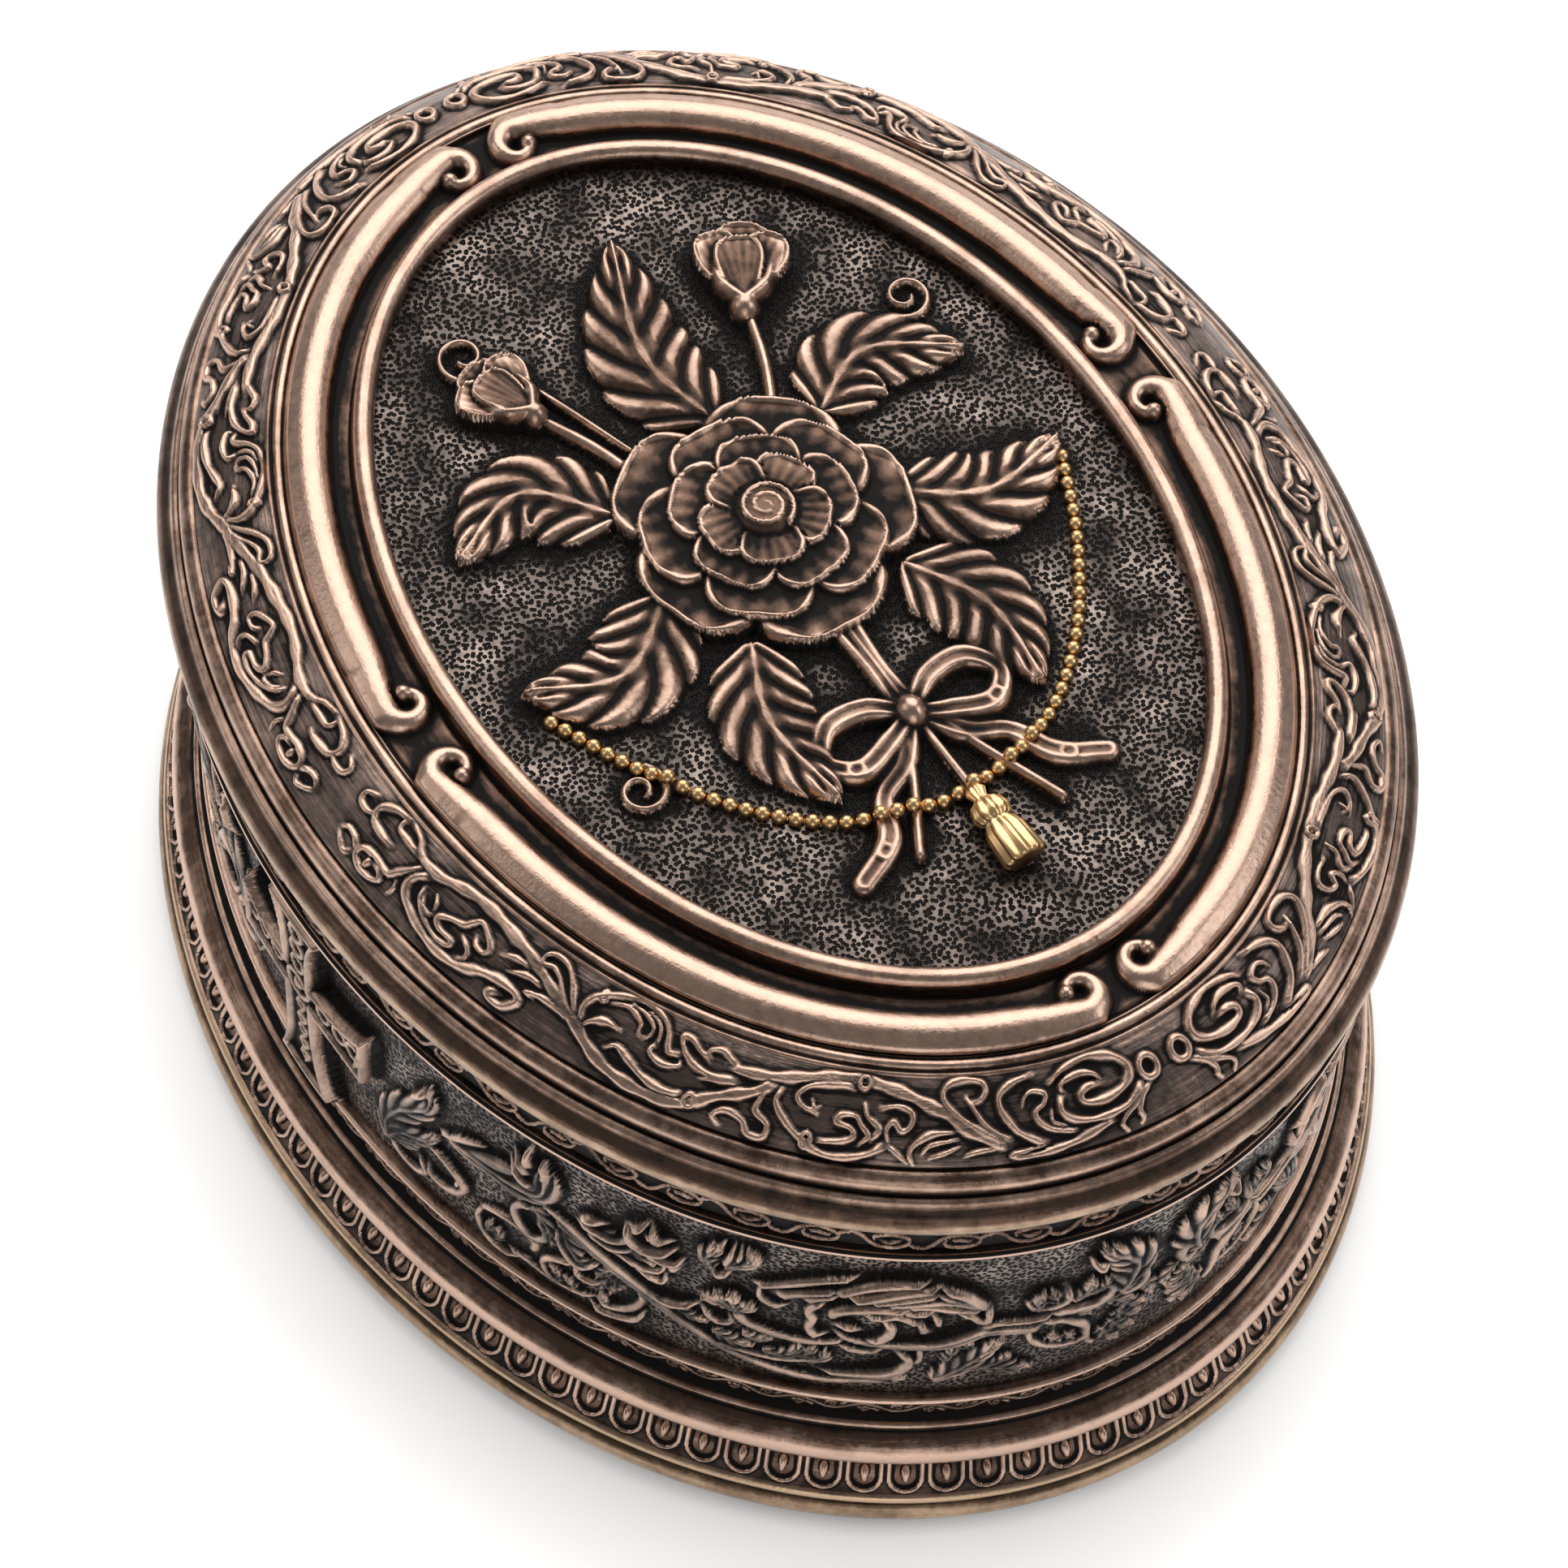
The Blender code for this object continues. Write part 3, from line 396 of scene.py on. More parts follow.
def cast_bronze(name, bronze, wear_and_shade, streaks=0.0):
    """A bronze casting's material; the values that change over it come from the mesh.

    Wear lifts the whole of it towards copper, and a value below zero leaves more dark patina; on
    the lid's skirt it also darkens it as painted shadow under the rim bead.
    """
    material, tree, shader = new_material(name)
    values = {"Wear": wear_and_shade, "Streaks": streaks}
    for key, colour in (("Dark", DARK), ("Bronze", bronze), ("Copper", COPPER)):
        values[key] = (*colour, 1)
    for key in ("Crest", "Pebbles", "Along", "Across", "Golden"):
        values[key] = wire(tree, "Attribute", "Fac", {}, attribute_name=key.lower())
    patina = wire(tree, "Group", "Color", values, node_tree=rubbed_bronze).node
    for key, socket in (("Color", "Base Color"), ("Metallic", "Metallic"),
                        ("Roughness", "Roughness"), ("Normal", "Normal")):
        tree.links.new(patina.outputs[key], shader.inputs[socket])
    shader.inputs["Specular IOR Level"].default_value = DARK_SHINE
    return material


def dress(piece, body, material, slot, *nodes):
    """Give a finished piece its material and its body, and hide the CAD nodes it stands for; its finish,
    the slot, is not used.
    """
    piece.data.materials.append(material)
    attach(piece, body)
    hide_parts(*nodes)


DARK = (0.015, 0.0135, 0.0130)
BRONZE = (0.132, 0.081, 0.059)
COPPER = (0.60, 0.410, 0.318)
moulded_bronze = cast_bronze("moulded_bronze", BRONZE, wear_and_shade=0.05, streaks=0.07)
base_outline = moulding([
    (1.85, 1.1), (1.85, 3.2, 0.6), (1.75, 3.25), (1.75, 4.1, 0.25), (1.3, 4.2), (-0.05, 7.3),
    (0.3, 7.3), (0.2, 9.9, 0.8), (-0.45, 10.2, 0.05), (-0.5, 10.22), (-0.62, 10.24),
    (-0.66, 10.36), (-1.0, 10.75, 0.14), (-1.1, 10.78), (-1.95, 11.2), (-1.95, 12.6),
    (-1.6, 12.8), (-1.6, 13.4, 0.3), (-2.5, 13.5), (-2.5, 36.2), (-1.9, 36.4), (-1.6, 36.6),
    (-1.0, 36.8), (-1.0, 37.6, 0.4), (-5.5, 37.6), (-5.5, 6.0), (-7.0, 4.5, -0.4)], step=1.8)
# Painted light on the base: a painted highlight on the torus and painted shade on its top; the groove and
# hollow above it darkened by painted shade over their patina; painted shadow of the lid on the rim's top.
base_painted_light = [(7.3, 9.5, 0.3), (9.5, 10.2, -0.15), (10.21, 10.25, -1.5), (10.77, 12.6, -1.0),
               (37.42, 37.57, -2.5), (37.6, 37.7, -0.9)]
base_casting = turned_oval("base_casting", base_outline, 0.9 * MM, base_painted_light, [(1.1, 4.1, 0.8)])
dress(base_casting, "base", moulded_bronze, "cast_bronze_resin", "base_shell")


# The foot's band of tongues: a row of hollow U-shaped tongues, each with a drop in it, pressed
# into the mould under the foot's thick round moulding. It is part of the same pour.
TONGUES_PER_QUARTER = 25
PATH_SPACING, CORD_STRETCH, BACK_DEPTH = 0.12, 90, 0.0005


def smooth_path(points, spacing=PATH_SPACING):
    """Evenly spaced points along the Catmull-Rom curve that passes through the given points."""
    points = np.asarray(points, float)
    points = np.vstack([2 * points[0] - points[1], points, 2 * points[-1] - points[-2]])
    t = np.linspace(0, 1, 16, endpoint=False)[:, None, None]
    a, b, c, d = points[:-3], points[1:-2], points[2:-1], points[3:]
    curve = 0.5 * (2 * b + (c - a) * t + (2 * a - 5 * b + 4 * c - d) * t ** 2
                   + (3 * b - a - 3 * c + d) * t ** 3)
    curve = np.vstack([curve.transpose(1, 0, 2).reshape(-1, 2), points[-2]])
    travel = travelled(curve)
    even = np.linspace(0, travel[-1], max(3, int(travel[-1] / spacing)))
    return np.column_stack([np.interp(even, travel, curve[:, k]) for k in range(2)])


def blurred(field, cells):
    """The field averaged three times over a square of cells, which comes close to a soft blur."""
    for axis in (0, 1, 0, 1, 0, 1):
        width = [(0, 0), (0, 0)]
        width[axis] = (cells + 1, cells)
        total = np.cumsum(np.pad(field, width, "symmetric"), axis)
        first, last = np.arange(field.shape[axis]), np.arange(field.shape[axis]) + 2 * cells + 1
        field = (np.take(total, last, axis) - np.take(total, first, axis)) / (2 * cells + 1)
    return field


class Relief:
    """Clay modelled over a flat sheet: a height in mm over each place (x, y) in mm.

    Each shape raises the clay to its own height wherever that is the higher of the two.
    """

    def __init__(self, x, y):
        self.place = np.stack(np.broadcast_arrays(x, y), -1)
        self.height = np.zeros(self.place.shape[:2])

    def near(self, path, reach):
        """The window round a path and, in it, the distance, signed side and share along it.

        The last value is true where a place lies past either end.
        """
        low, high = path.min(0) - reach, path.max(0) + reach
        inside = ((self.place >= low) & (self.place <= high)).all(-1)
        rows, columns = np.flatnonzero(inside.any(1)), np.flatnonzero(inside.any(0))
        if not len(rows):
            return None
        window = slice(rows[0], rows[-1] + 1), slice(columns[0], columns[-1] + 1)
        place = self.place[window]
        square = (place ** 2).sum(-1, keepdims=True) + (path ** 2).sum(-1) - 2 * place @ path.T
        nearest = square.argmin(-1)
        tangent = np.gradient(path, axis=0)
        spacing = np.linalg.norm(tangent, axis=1, keepdims=True)
        tangent, spacing = (tangent / spacing)[nearest], spacing[nearest][..., 0]
        away = place - path[nearest]
        along = (away * tangent).sum(-1)
        side = tangent[..., 0] * away[..., 1] - tangent[..., 1] * away[..., 0]
        share = (nearest + np.clip(along / spacing, -0.5, 0.5)) / (len(path) - 1)
        past = ((nearest == 0) & (along < 0)) | ((nearest == len(path) - 1) & (along > 0))
        return window, np.sqrt((away ** 2).sum(-1)), side, share, past

    def raise_to(self, window, height):
        """Raise the clay in a window to these heights where they are higher."""
        self.height[window] = np.maximum(self.height[window], height)

    def bend(self, x, y, reach, angle, thick, rise, groove):
        """A cord through the points at these reaches and angles from a middle."""
        self.cord(np.column_stack([x + reach[0] * np.cos(angle), y + reach[1] * np.sin(angle)]),
                  thick, rise, groove)

    def cord(self, points, radius, rise, groove=0.0, dome=0.55, swell=0.0, taper=0.0):
        """A raised cord: height = rise x (1 - (distance / radius)^2)^dome.

        Radius and rise change evenly along the cord, from one of their values to the next, and
        a groove of this depth runs along its middle. The radius swells and thins by the share
        swell x sin(2.6 x mm travelled), and the rise falls to a third over the taper, in mm, at
        each end. A long cord is worked in stretches of CORD_STRETCH steps.
        """
        path = smooth_path(points)
        radius, rise = np.atleast_1d(radius), np.atleast_1d(rise)
        for start in range(0, max(1, len(path) - 2), CORD_STRETCH):
            part = path[start:start + CORD_STRETCH + 2]
            found = self.near(part, radius.max())
            if found is None:
                continue
            window, distance, _, share, _ = found
            share = (start + share * (len(part) - 1)) / (len(path) - 1)
            wide = np.interp(share, np.linspace(0, 1, len(radius)), radius)
            tall = np.interp(share, np.linspace(0, 1, len(rise)), rise)
            run = PATH_SPACING * (len(path) - 1)
            if swell:
                wide = wide * (1 - swell * np.sin(2.6 * run * share))
            if taper:
                tall = tall * np.clip(0.33 + np.minimum(share, 1 - share) * run / taper, 0, 1)
            form = np.clip(1 - (distance / wide) ** 2, 0, 1) ** dome
            form *= 1 - groove * np.exp(-(distance / (0.42 * wide)) ** 2)
            self.raise_to(window, tall * form)

    def leaf(self, points, width, rise, lobes=5, base=0.0, sweep=1.1, cut=0.30):
        """An acanthus leaf on a curved spine, with lobes that sweep towards its tip.

        Along it the share s runs 0 to 1 and across it the side q runs 0 to 1, where q is the
        distance from the spine over width x sin(pi s^0.7)^0.7. A lobe's ridge stands where
        the wave sin(pi x fraction of (lobes x s - sweep x q)) is 1, and the edge is cut back
        where it is 0. Height = base + rise x (0.7 + 0.3 s) x (dome + lobe ridge + spine ridge).
        """
        found = self.near(smooth_path(points), width)
        if found is None:
            return
        window, distance, side, share, past = found
        s = np.clip(share, 1e-3, 1 - 1e-3)
        wide = width * np.sin(np.pi * s ** 0.7) ** 0.7
        q = np.abs(side) / wide
        wave = np.sin(np.pi * ((lobes * s - sweep * q) % 1.0))
        edge = 1 - cut + cut * wave ** 0.6
        inside = (q < edge) & ~past & (share > 0) & (share < 1)
        dome = 0.50 * np.sqrt(np.clip(1 - (q / edge) ** 2, 0, 1))
        ridge = 0.34 * wave ** 0.8 * np.clip(3 * q, 0, 1) + 0.35 * np.exp(-(q / 0.13) ** 2)
        self.raise_to(window, np.where(inside, base + rise * (0.7 + 0.3 * s) * (dome + ridge), 0))

    def knob(self, x, y, radius, rise, base=0.0, stretch=1.0):
        """A dome: height = base + rise x (1 - r^2)^0.5, where r is the distance over radius."""
        away = (self.place - (x, y)) / (radius, radius * stretch)
        square = (away ** 2).sum(-1)
        dome = base + rise * np.sqrt(np.clip(1 - square, 0, 1))
        self.height = np.maximum(self.height, np.where(square < 1, dome, 0))

    def ring(self, x, y, radius, thick, rise, stretch=1.0, groove=0.0):
        """A cord bent into a closed oval ring."""
        self.bend(x, y, (radius, radius * stretch), np.linspace(0, FULL_TURN, 17), thick, rise,
                  groove)

    def curl(self, x, y, radius, start, turns, thick, rise, groove=0.0, shrink=0.25):
        """A cord wound inwards: its radius shrinks evenly with the angle, from a start angle."""
        share = np.linspace(0, 1, max(8, int(abs(turns) * 14)))
        angle = np.radians(start) + turns * FULL_TURN * share
        reach = radius * (1 - (1 - shrink) * share)
        self.bend(x, y, (reach, reach), angle, thick, rise, groove)

    def ground(self):
        """1 where the ground lies bare, falling to 0 where the clay stands 0.10 mm over it."""
        return np.clip(1 - self.height / 0.10, 0, 1)

    def crest(self, cells, full):
        """1 where the clay stands this many mm over its blurred self, and -1 as far under it.

        Half of the same against a blur of one cell adds the sharp edges, which are rubbed most.
        """
        edges = (self.height - blurred(self.height, 1)) / (0.3 * full)
        return (self.height - blurred(self.height, cells)) / full + 0.5 * edges


def closed_strips(name, points, back, **values):
    """A grid of points closed behind by two more columns, and at its ends by flat faces."""
    columns = back.shape[1]
    whole = np.concatenate([points, back], axis=1)
    index = np.arange(whole.shape[0] * whole.shape[1]).reshape(whole.shape[:2])
    here, after = index[:-1], index[1:]
    faces = np.stack([here, after, np.roll(after, -1, 1), np.roll(here, -1, 1)], -1)
    smooth, flat = faces[:, :points.shape[1] - 1], faces[:, points.shape[1] - 1:]
    ends = [index[0].tolist(), index[-1, ::-1].tolist()]
    values = {key: np.pad(value, ((0, 0), (0, columns)), "edge") for key, value in values.items()}
    return new_piece(name, whole.reshape(-1, 3), smooth.reshape(-1, 4),
                     flat.reshape(-1, 4).tolist() + ends, **values)


def quarter_bands(name, outline, model, body, material, node, cell, crest, outline_crest=0.0,
                  pebbled=0.0):
    """Lay a modelled relief over an outline, round a quarter of the oval, and mirror it twice.

    x runs along the oval, in mm, from the end of its short axis to the end of its long one, and
    y across the outline. Place = outline point + outline normal x height. Cell is the grid's
    step in mm, and crest holds the cells and the height in mm that Relief.crest takes.
    """
    middle = outline[:, 0].mean()
    fine = np.linspace(-np.pi / 2, 0, 3001)
    travel = oval_travel(middle, fine)
    along = np.linspace(0, travel[-1], int(travel[-1] / cell / MM) + 1)
    angle = np.interp(along, travel, fine)
    down = travelled(outline)
    across = np.linspace(0, down[-1], int(down[-1] / cell / MM) + 1)
    line = np.column_stack([np.interp(across, down, outline[:, k]) for k in range(2)])
    normal = np.gradient(line, axis=0)[:, ::-1] * (1, -1)
    normal /= np.linalg.norm(normal, axis=1, keepdims=True)
    if normal.sum() < 0:
        normal = -normal
    relief = Relief(along[:, None] / MM, across[None] / MM)
    model(relief, along[-1] / MM, across[-1] / MM)
    front = line + normal * relief.height[..., None] * MM
    behind = (line - normal * BACK_DEPTH)[[-1, 0]]
    crest = relief.crest(*crest) + outline_crest * crest_of(line, 0.6 * MM)
    pebbles = pebbled * relief.ground()
    over, run = np.broadcast_to(across, crest.shape), np.broadcast_to(along[:, None], crest.shape)
    points, back = round_oval(angle, front), round_oval(angle, behind)
    for end, x_side in (("right", 1), ("left", -1)):
        for side, y_side in (("front", 1), ("back", -1)):
            turn = (x_side, y_side, 1)
            piece = closed_strips(f"{name}_{side}_{end}", points * turn, back * turn,
                                  crest=crest, pebbles=pebbles, along=run, across=over)
            dress(piece, body, material, "cast_bronze_resin", node)


def model_tongues(relief, length, width):
    """Hollow tongues side by side, each a raised U with a drop that hangs inside it.

    In one tongue p runs -1 to 1 across and q down in the same units. The U is the line at a
    fixed distance from a point, carried straight up on both sides; the drop is a dome that
    narrows downwards.
    """
    pitch = length / TONGUES_PER_QUARTER
    half = pitch / 2
    p = (relief.place[..., 0] % pitch - half) / half
    q = (relief.place[..., 1] - 0.53 * width) / half
    distance = np.hypot(p, np.maximum(q, 0) * 0.90)
    hollow = -0.34 * np.clip(1 - (distance / 0.74) ** 2, 0, 1) ** 0.5
    rim = 0.20 * np.clip(1 - ((distance - 0.80) / 0.08) ** 2, 0, 1) ** 0.5
    narrow = 0.29 * np.clip(1 - (q + 0.5) * 0.42, 0.2, 1.2)
    drop = np.clip(1 - (p / narrow) ** 2 - ((q + 0.20) / 0.60) ** 2, 0, 1) ** 0.5
    relief.height = np.maximum(np.where(distance < 0.74, hollow, 0) + rim, -0.34 + 0.72 * drop)


tongue_bronze = cast_bronze("tongue_bronze", BRONZE, wear_and_shade=-0.17)
tongue_outline = moulding([(0.25, 7.3), (1.55, 4.15)])
quarter_bands("tongue_band", tongue_outline, model_tongues, "base", tongue_bronze, "base_shell",
              cell=0.125, crest=(4, 0.16))


# The running scrolls: a small waved stem with a curl in each wave, in a dark hollow line below
# the frieze. The patina fills it, and only the highest spots are rubbed.
FOOT_WAVES, FOOT_RISE = 15, 0.22


def model_running_scrolls(relief, length, width):
    """A stem waves once over each pitch, and each half wave holds a curl with a drop by it."""
    pitch, middle, sway = length / FOOT_WAVES, width / 2, 0.30 * width
    relief.place[..., 0] %= pitch
    wave = np.linspace(0, 1, 13)
    thick = 0.085 * width
    for start in (-pitch, 0, pitch):
        stem = np.column_stack([start + pitch * wave, middle + sway * np.cos(FULL_TURN * wave)])
        relief.cord(stem, thick, FOOT_RISE)
        for turn, at in ((1, 0.50), (-1, 1.0)):
            x, y = start + pitch * at, middle + turn * 0.10 * width
            relief.curl(x, y, 0.27 * width, turn * -160, turn * -1.25, (thick, 0.8 * thick),
                        FOOT_RISE)
            relief.cord([(x + 0.10 * pitch, y - turn * 0.05 * width),
                         (x + 0.20 * pitch, y + turn * 0.16 * width),
                         (x + 0.23 * pitch, y + turn * 0.34 * width)],
                        (0.5 * thick, 1.5 * thick, 0.4 * thick), FOOT_RISE)


foot_scroll_bronze = cast_bronze("foot_scroll_bronze", BRONZE, wear_and_shade=-0.40)
foot_scroll_outline = moulding([(-1.65, 12.75), (-1.65, 11.15)])
quarter_bands("foot_scrolls", foot_scroll_outline, model_running_scrolls, "base",
              foot_scroll_bronze, "base_shell", cell=0.13, crest=(3, 0.12))


# The frieze: acanthus scrolls and leaves on pebbled ground between two ornate crosses, pressed
# into the outer mould. It is mirrored to each quarter of the oval, as the mould maker did.
FRIEZE_TOP, FRIEZE_FOOT, WALL_OFFSET = 36.4, 13.4, -2.1
FRIEZE_CORD, FRIEZE_LEAF, FRIEZE_RISE, FRIEZE_SINK = 0.9, 1.05, 0.70, 0.025
CROSS_ARM, CROSS_WIDTH, CROSS_PROUD = 7.9, 1.9, 1.4


def model_frieze(relief, length, width):
    """Acanthus scrolls; places are (degrees of the oval from the cross, share down the wall).

    FRIEZE_CORD x a cord's written radius, FRIEZE_LEAF x a leaf's written width and FRIEZE_RISE
    x the written rises give the real ones, and FRIEZE_SINK moves all down.
    """
    turns = np.linspace(0, 90, 91)
    run = oval_travel(WALL_OFFSET * MM, np.radians(turns - 90)) / MM

    def at(*places):
        turn, share = np.array(places).T
        return np.column_stack([np.interp(turn, turns, run), width * (share + FRIEZE_SINK)])

    def cord(radius, rise, *places, groove=0.0):
        relief.cord(at(*places), FRIEZE_CORD * np.atleast_1d(radius),
                    FRIEZE_RISE * np.atleast_1d(rise), groove, dome=0.8, taper=1.2)

    def leaf(wide, rise, lobes, *places):
        relief.leaf(at(*places), FRIEZE_LEAF * wide, FRIEZE_RISE * rise, lobes, cut=0.40)

    # The upright leaf beside the cross, its two lower lobes, and the curls at its foot.
    leaf(1.5, 1.5, 5, (10.3, .83), (10.6, .70), (12.4, .545), (14.6, .43), (16.2, .33), (16.3, .21))
    cord((.6, .55, .3), 1.7, (16.2, .24), (15.2, .295), (14.0, .345))
    leaf(1.0, 1.2, 4, (10.7, .80), (12.6, .69), (15.2, .60), (17.0, .49))
    leaf(.9, 1.0, 4, (10.8, .81), (13.0, .735), (14.7, .655))
    cord((.3, .5, .5, .35), (.9, 1.3, 1.3, 1.0), (14.4, .62), (16.6, .60), (18.8, .635),
         (19.8, .685), (19.2, .745), (17.8, .785), (16.0, .79), (15.2, .75), groove=.2)
    cord((.25, .5), 1.1, (19.6, .66), (19.0, .70), (18.6, .735))
    cord((.4, .45, .4), 1.0, (10.5, .80), (12.0, .85), (14.0, .86), (15.1, .825), (14.9, .785),
         (14.1, .75), groove=.2)
    # The thick bud that turns up from the stem, with its ragged head.
    cord((.3, .55, .5, .3), (.8, 1.1, 1.1, .9), (16.9, .465), (18.2, .425), (20.2, .41),
         (22.6, .43), (25.4, .465), (27.0, .465))
    leaf(1.9, 2.0, 3, (18.4, .42), (22.0, .395), (25.8, .375), (28.2, .33), (28.8, .23), (28.4, .13))
    cord((.9, .8, .3), (1.9, 1.9, 1.4), (28.3, .30), (26.6, .285), (24.8, .25))
    cord((.7, .6, .25), (1.8, 1.7, 1.3), (27.6, .26), (26.2, .215), (25.2, .185))
    cord((.6, .5, .2), (1.8, 1.7, 1.3), (27.4, .22), (26.8, .165), (27.0, .11))
    cord((.5, .4, .2), (1.9, 1.6, 1.3), (28.7, .24), (28.5, .18), (28.25, .135))
    # The long wavy stem, which falls to the foot of the wall and makes a bowl there.
    cord((.35, .6, .85, .75, .55, .5, .5, .5, .4), (.9, 1.2, 1.5, 1.4, 1.2, 1.1, 1.1, 1.1, .8),
         (27.4, .42), (30.0, .45), (32.6, .505), (35.4, .565), (38.0, .62), (40.2, .685),
         (43.4, .765), (46.8, .83), (50.4, .868), (54.6, .885), (58.6, .868), (62.2, .866), groove=.3)
    cord((.25, .4, .25), .9, (29.0, .465), (31.8, .52), (34.4, .59))
    # The ring and the leaves under the stem's start.
    cord((.35, .55, .5), (1.0, 1.3, 1.1), (27.6, .49), (26.0, .52), (25.2, .58), (25.9, .645),
         (27.3, .67), (28.4, .64), (28.4, .585), (27.4, .53), groove=.2)
    leaf(.95, 1.4, 3, (27.2, .475), (28.8, .545), (29.4, .64))
    leaf(1.25, 1.1, 4, (30.2, .49), (30.6, .58), (32.0, .655), (33.8, .61))
    cord((.3, .4, .3), 1.1, (29.7, .50), (29.9, .59), (30.8, .665), (32.2, .68), (33.8, .605))
    cord((.3, .4, .25), 1.1, (31.2, .70), (31.9, .745), (33.2, .745), (34.4, .71))
    cord((.25, .4, .45, .6), (.8, 1.1, 1.2, 1.3), (21.2, .745), (22.5, .70), (24.5, .668),
         (26.4, .675), (27.4, .70), (27.3, .75), (26.6, .765), groove=.15)
    cord((.3, .4, .3), 1.0, (21.5, .745), (21.2, .80), (21.9, .87), (23.2, .905), (25.6, .905))
    leaf(.6, 1.2, 2, (22.0, .88), (22.5, .82), (22.8, .765))
    leaf(.6, 1.1, 2, (23.1, .88), (23.5, .83), (23.4, .785))
    cord((.2, .35, .35, .2), .8, (24.2, .88), (26.4, .87), (29.0, .888), (31.6, .88), (33.4, .86))
    cord((.3, .45, .4, .25), 1.1, (31.6, .70), (29.6, .735), (28.3, .785), (28.3, .835), (29.2, .87),
         (30.4, .885), groove=.2)
    leaf(.6, 1.2, 2, (30.0, .87), (29.6, .825), (28.9, .79))
    leaf(.5, 1.1, 2, (31.2, .875), (30.9, .84), (30.2, .81))
    for foot, bend, tip in (
            ((35.2, .61), (34.6, .68), (34.0, .77)), ((35.7, .61), (35.4, .69), (34.9, .775)),
            ((36.3, .61), (36.4, .65), (35.9, .70)), ((34.9, .61), (34.0, .66), (33.6, .70))):
        leaf(.6, 1.2, 3, foot, bend, tip)
    cord((.3, .5, .45, .25), 1.2, (37.5, .615), (38.1, .68), (37.7, .75), (36.6, .81), (35.0, .845),
         (33.4, .855), groove=.15)
    cord((.2, .45, .4, .25), 1.1, (38.3, .785), (37.6, .85), (36.0, .885), (34.2, .905), (32.8, .895))
    leaf(.6, 1.2, 2, (35.2, .86), (34.4, .83), (33.9, .79))
    # The second bud above the stem: long strokes that sweep into a crown, with leaves beside it.
    for places in (((31.4, .405), (33.6, .39), (35.6, .372), (36.8, .33), (37.2, .295)),
                   ((32.0, .42), (34.8, .43), (36.6, .40), (37.4, .355)),
                   ((31.6, .375), (32.8, .335), (34.6, .325)),
                   ((33.6, .455), (36.0, .445), (38.2, .462), (39.8, .445), (39.9, .415)),
                   ((36.6, .47), (38.4, .492), (40.0, .505), (40.1, .465)),
                   ((37.6, .395), (39.4, .372), (41.0, .365), (41.8, .33)),
                   ((39.6, .388), (41.0, .385), (41.9, .355)),
                   ((38.2, .60), (39.6, .632), (41.6, .62), (43.4, .585))):
        cord((.3, .55, .25), (.9, 1.4, 1.1), *places)
    leaf(1.5, 1.3, 4, (32.4, .40), (35.4, .41), (37.4, .40), (39.4, .43))
    cord((.35, .75, .7, .3), (1.3, 1.9, 1.9, 1.4), (36.3, .235), (37.0, .295), (38.6, .315),
         (40.2, .302), (41.1, .28))
    cord((.3, .5, .2), (1.5, 1.8, 1.4), (36.4, .24), (37.6, .215), (38.6, .165))
    cord((.2, .45, .25), (1.4, 1.8, 1.5), (38.7, .17), (39.3, .235), (40.8, .24))
    cord((.4, .4), 1.5, (37.8, .27), (39.4, .262))
    # The third and fourth buds, over the bowl.
    leaf(.9, 1.8, 3, (44.4, .30), (44.0, .23), (44.8, .165), (45.5, .12))
    leaf(.9, 1.8, 3, (45.6, .265), (47.0, .215), (48.2, .17), (47.6, .11))
    cord((.5, .5, .2), 1.6, (45.4, .25), (46.0, .19), (46.4, .12))
    cord((.4, .4, .2), 1.5, (46.4, .21), (47.0, .16), (47.0, .115))
    cord((.4, .6, .4), 1.5, (44.2, .28), (45.2, .312), (46.4, .265))
    leaf(1.0, 1.7, 3, (47.2, .53), (45.6, .50), (43.6, .505))
    leaf(.9, 1.8, 3, (46.8, .52), (45.6, .475), (44.6, .445))
    leaf(.9, 1.9, 3, (47.0, .52), (46.6, .47), (46.6, .415))
    leaf(.9, 1.8, 3, (47.2, .52), (47.8, .48), (48.2, .45))
    cord((.3, .4, .3), 1.0, (43.4, .59), (45.0, .645), (46.4, .63), (46.2, .60))
    leaf(.8, 1.1, 4, (41.0, .65), (42.6, .68), (44.4, .675))
    # The second stem, under the great whorl.
    cord((.6, .55, .5, .45, .3), (1.5, 1.3, 1.2, 1.1, .8), (46.6, .53), (47.8, .588), (49.8, .618),
         (53.0, .635), (56.0, .622), (57.2, .59), groove=.25)
    cord((.3, .4, .5, .6, .85, .7, .6, .5), (.9, 1.1, 1.2, 1.4, 1.7, 1.6, 1.5, 1.3), (55.8, .55),
         (57.6, .587), (60.0, .602), (63.0, .605), (66.0, .595), (68.4, .558), (70.6, .522),
         (73.0, .54), (75.2, .565), (77.0, .57), groove=.3)
    cord((.25, .4, .45), 1.1, (69.4, .505), (72.0, .487), (75.0, .505), (78.0, .505))
    cord((.25, .35, .25), .9, (56.2, .64), (58.8, .66), (61.2, .635))
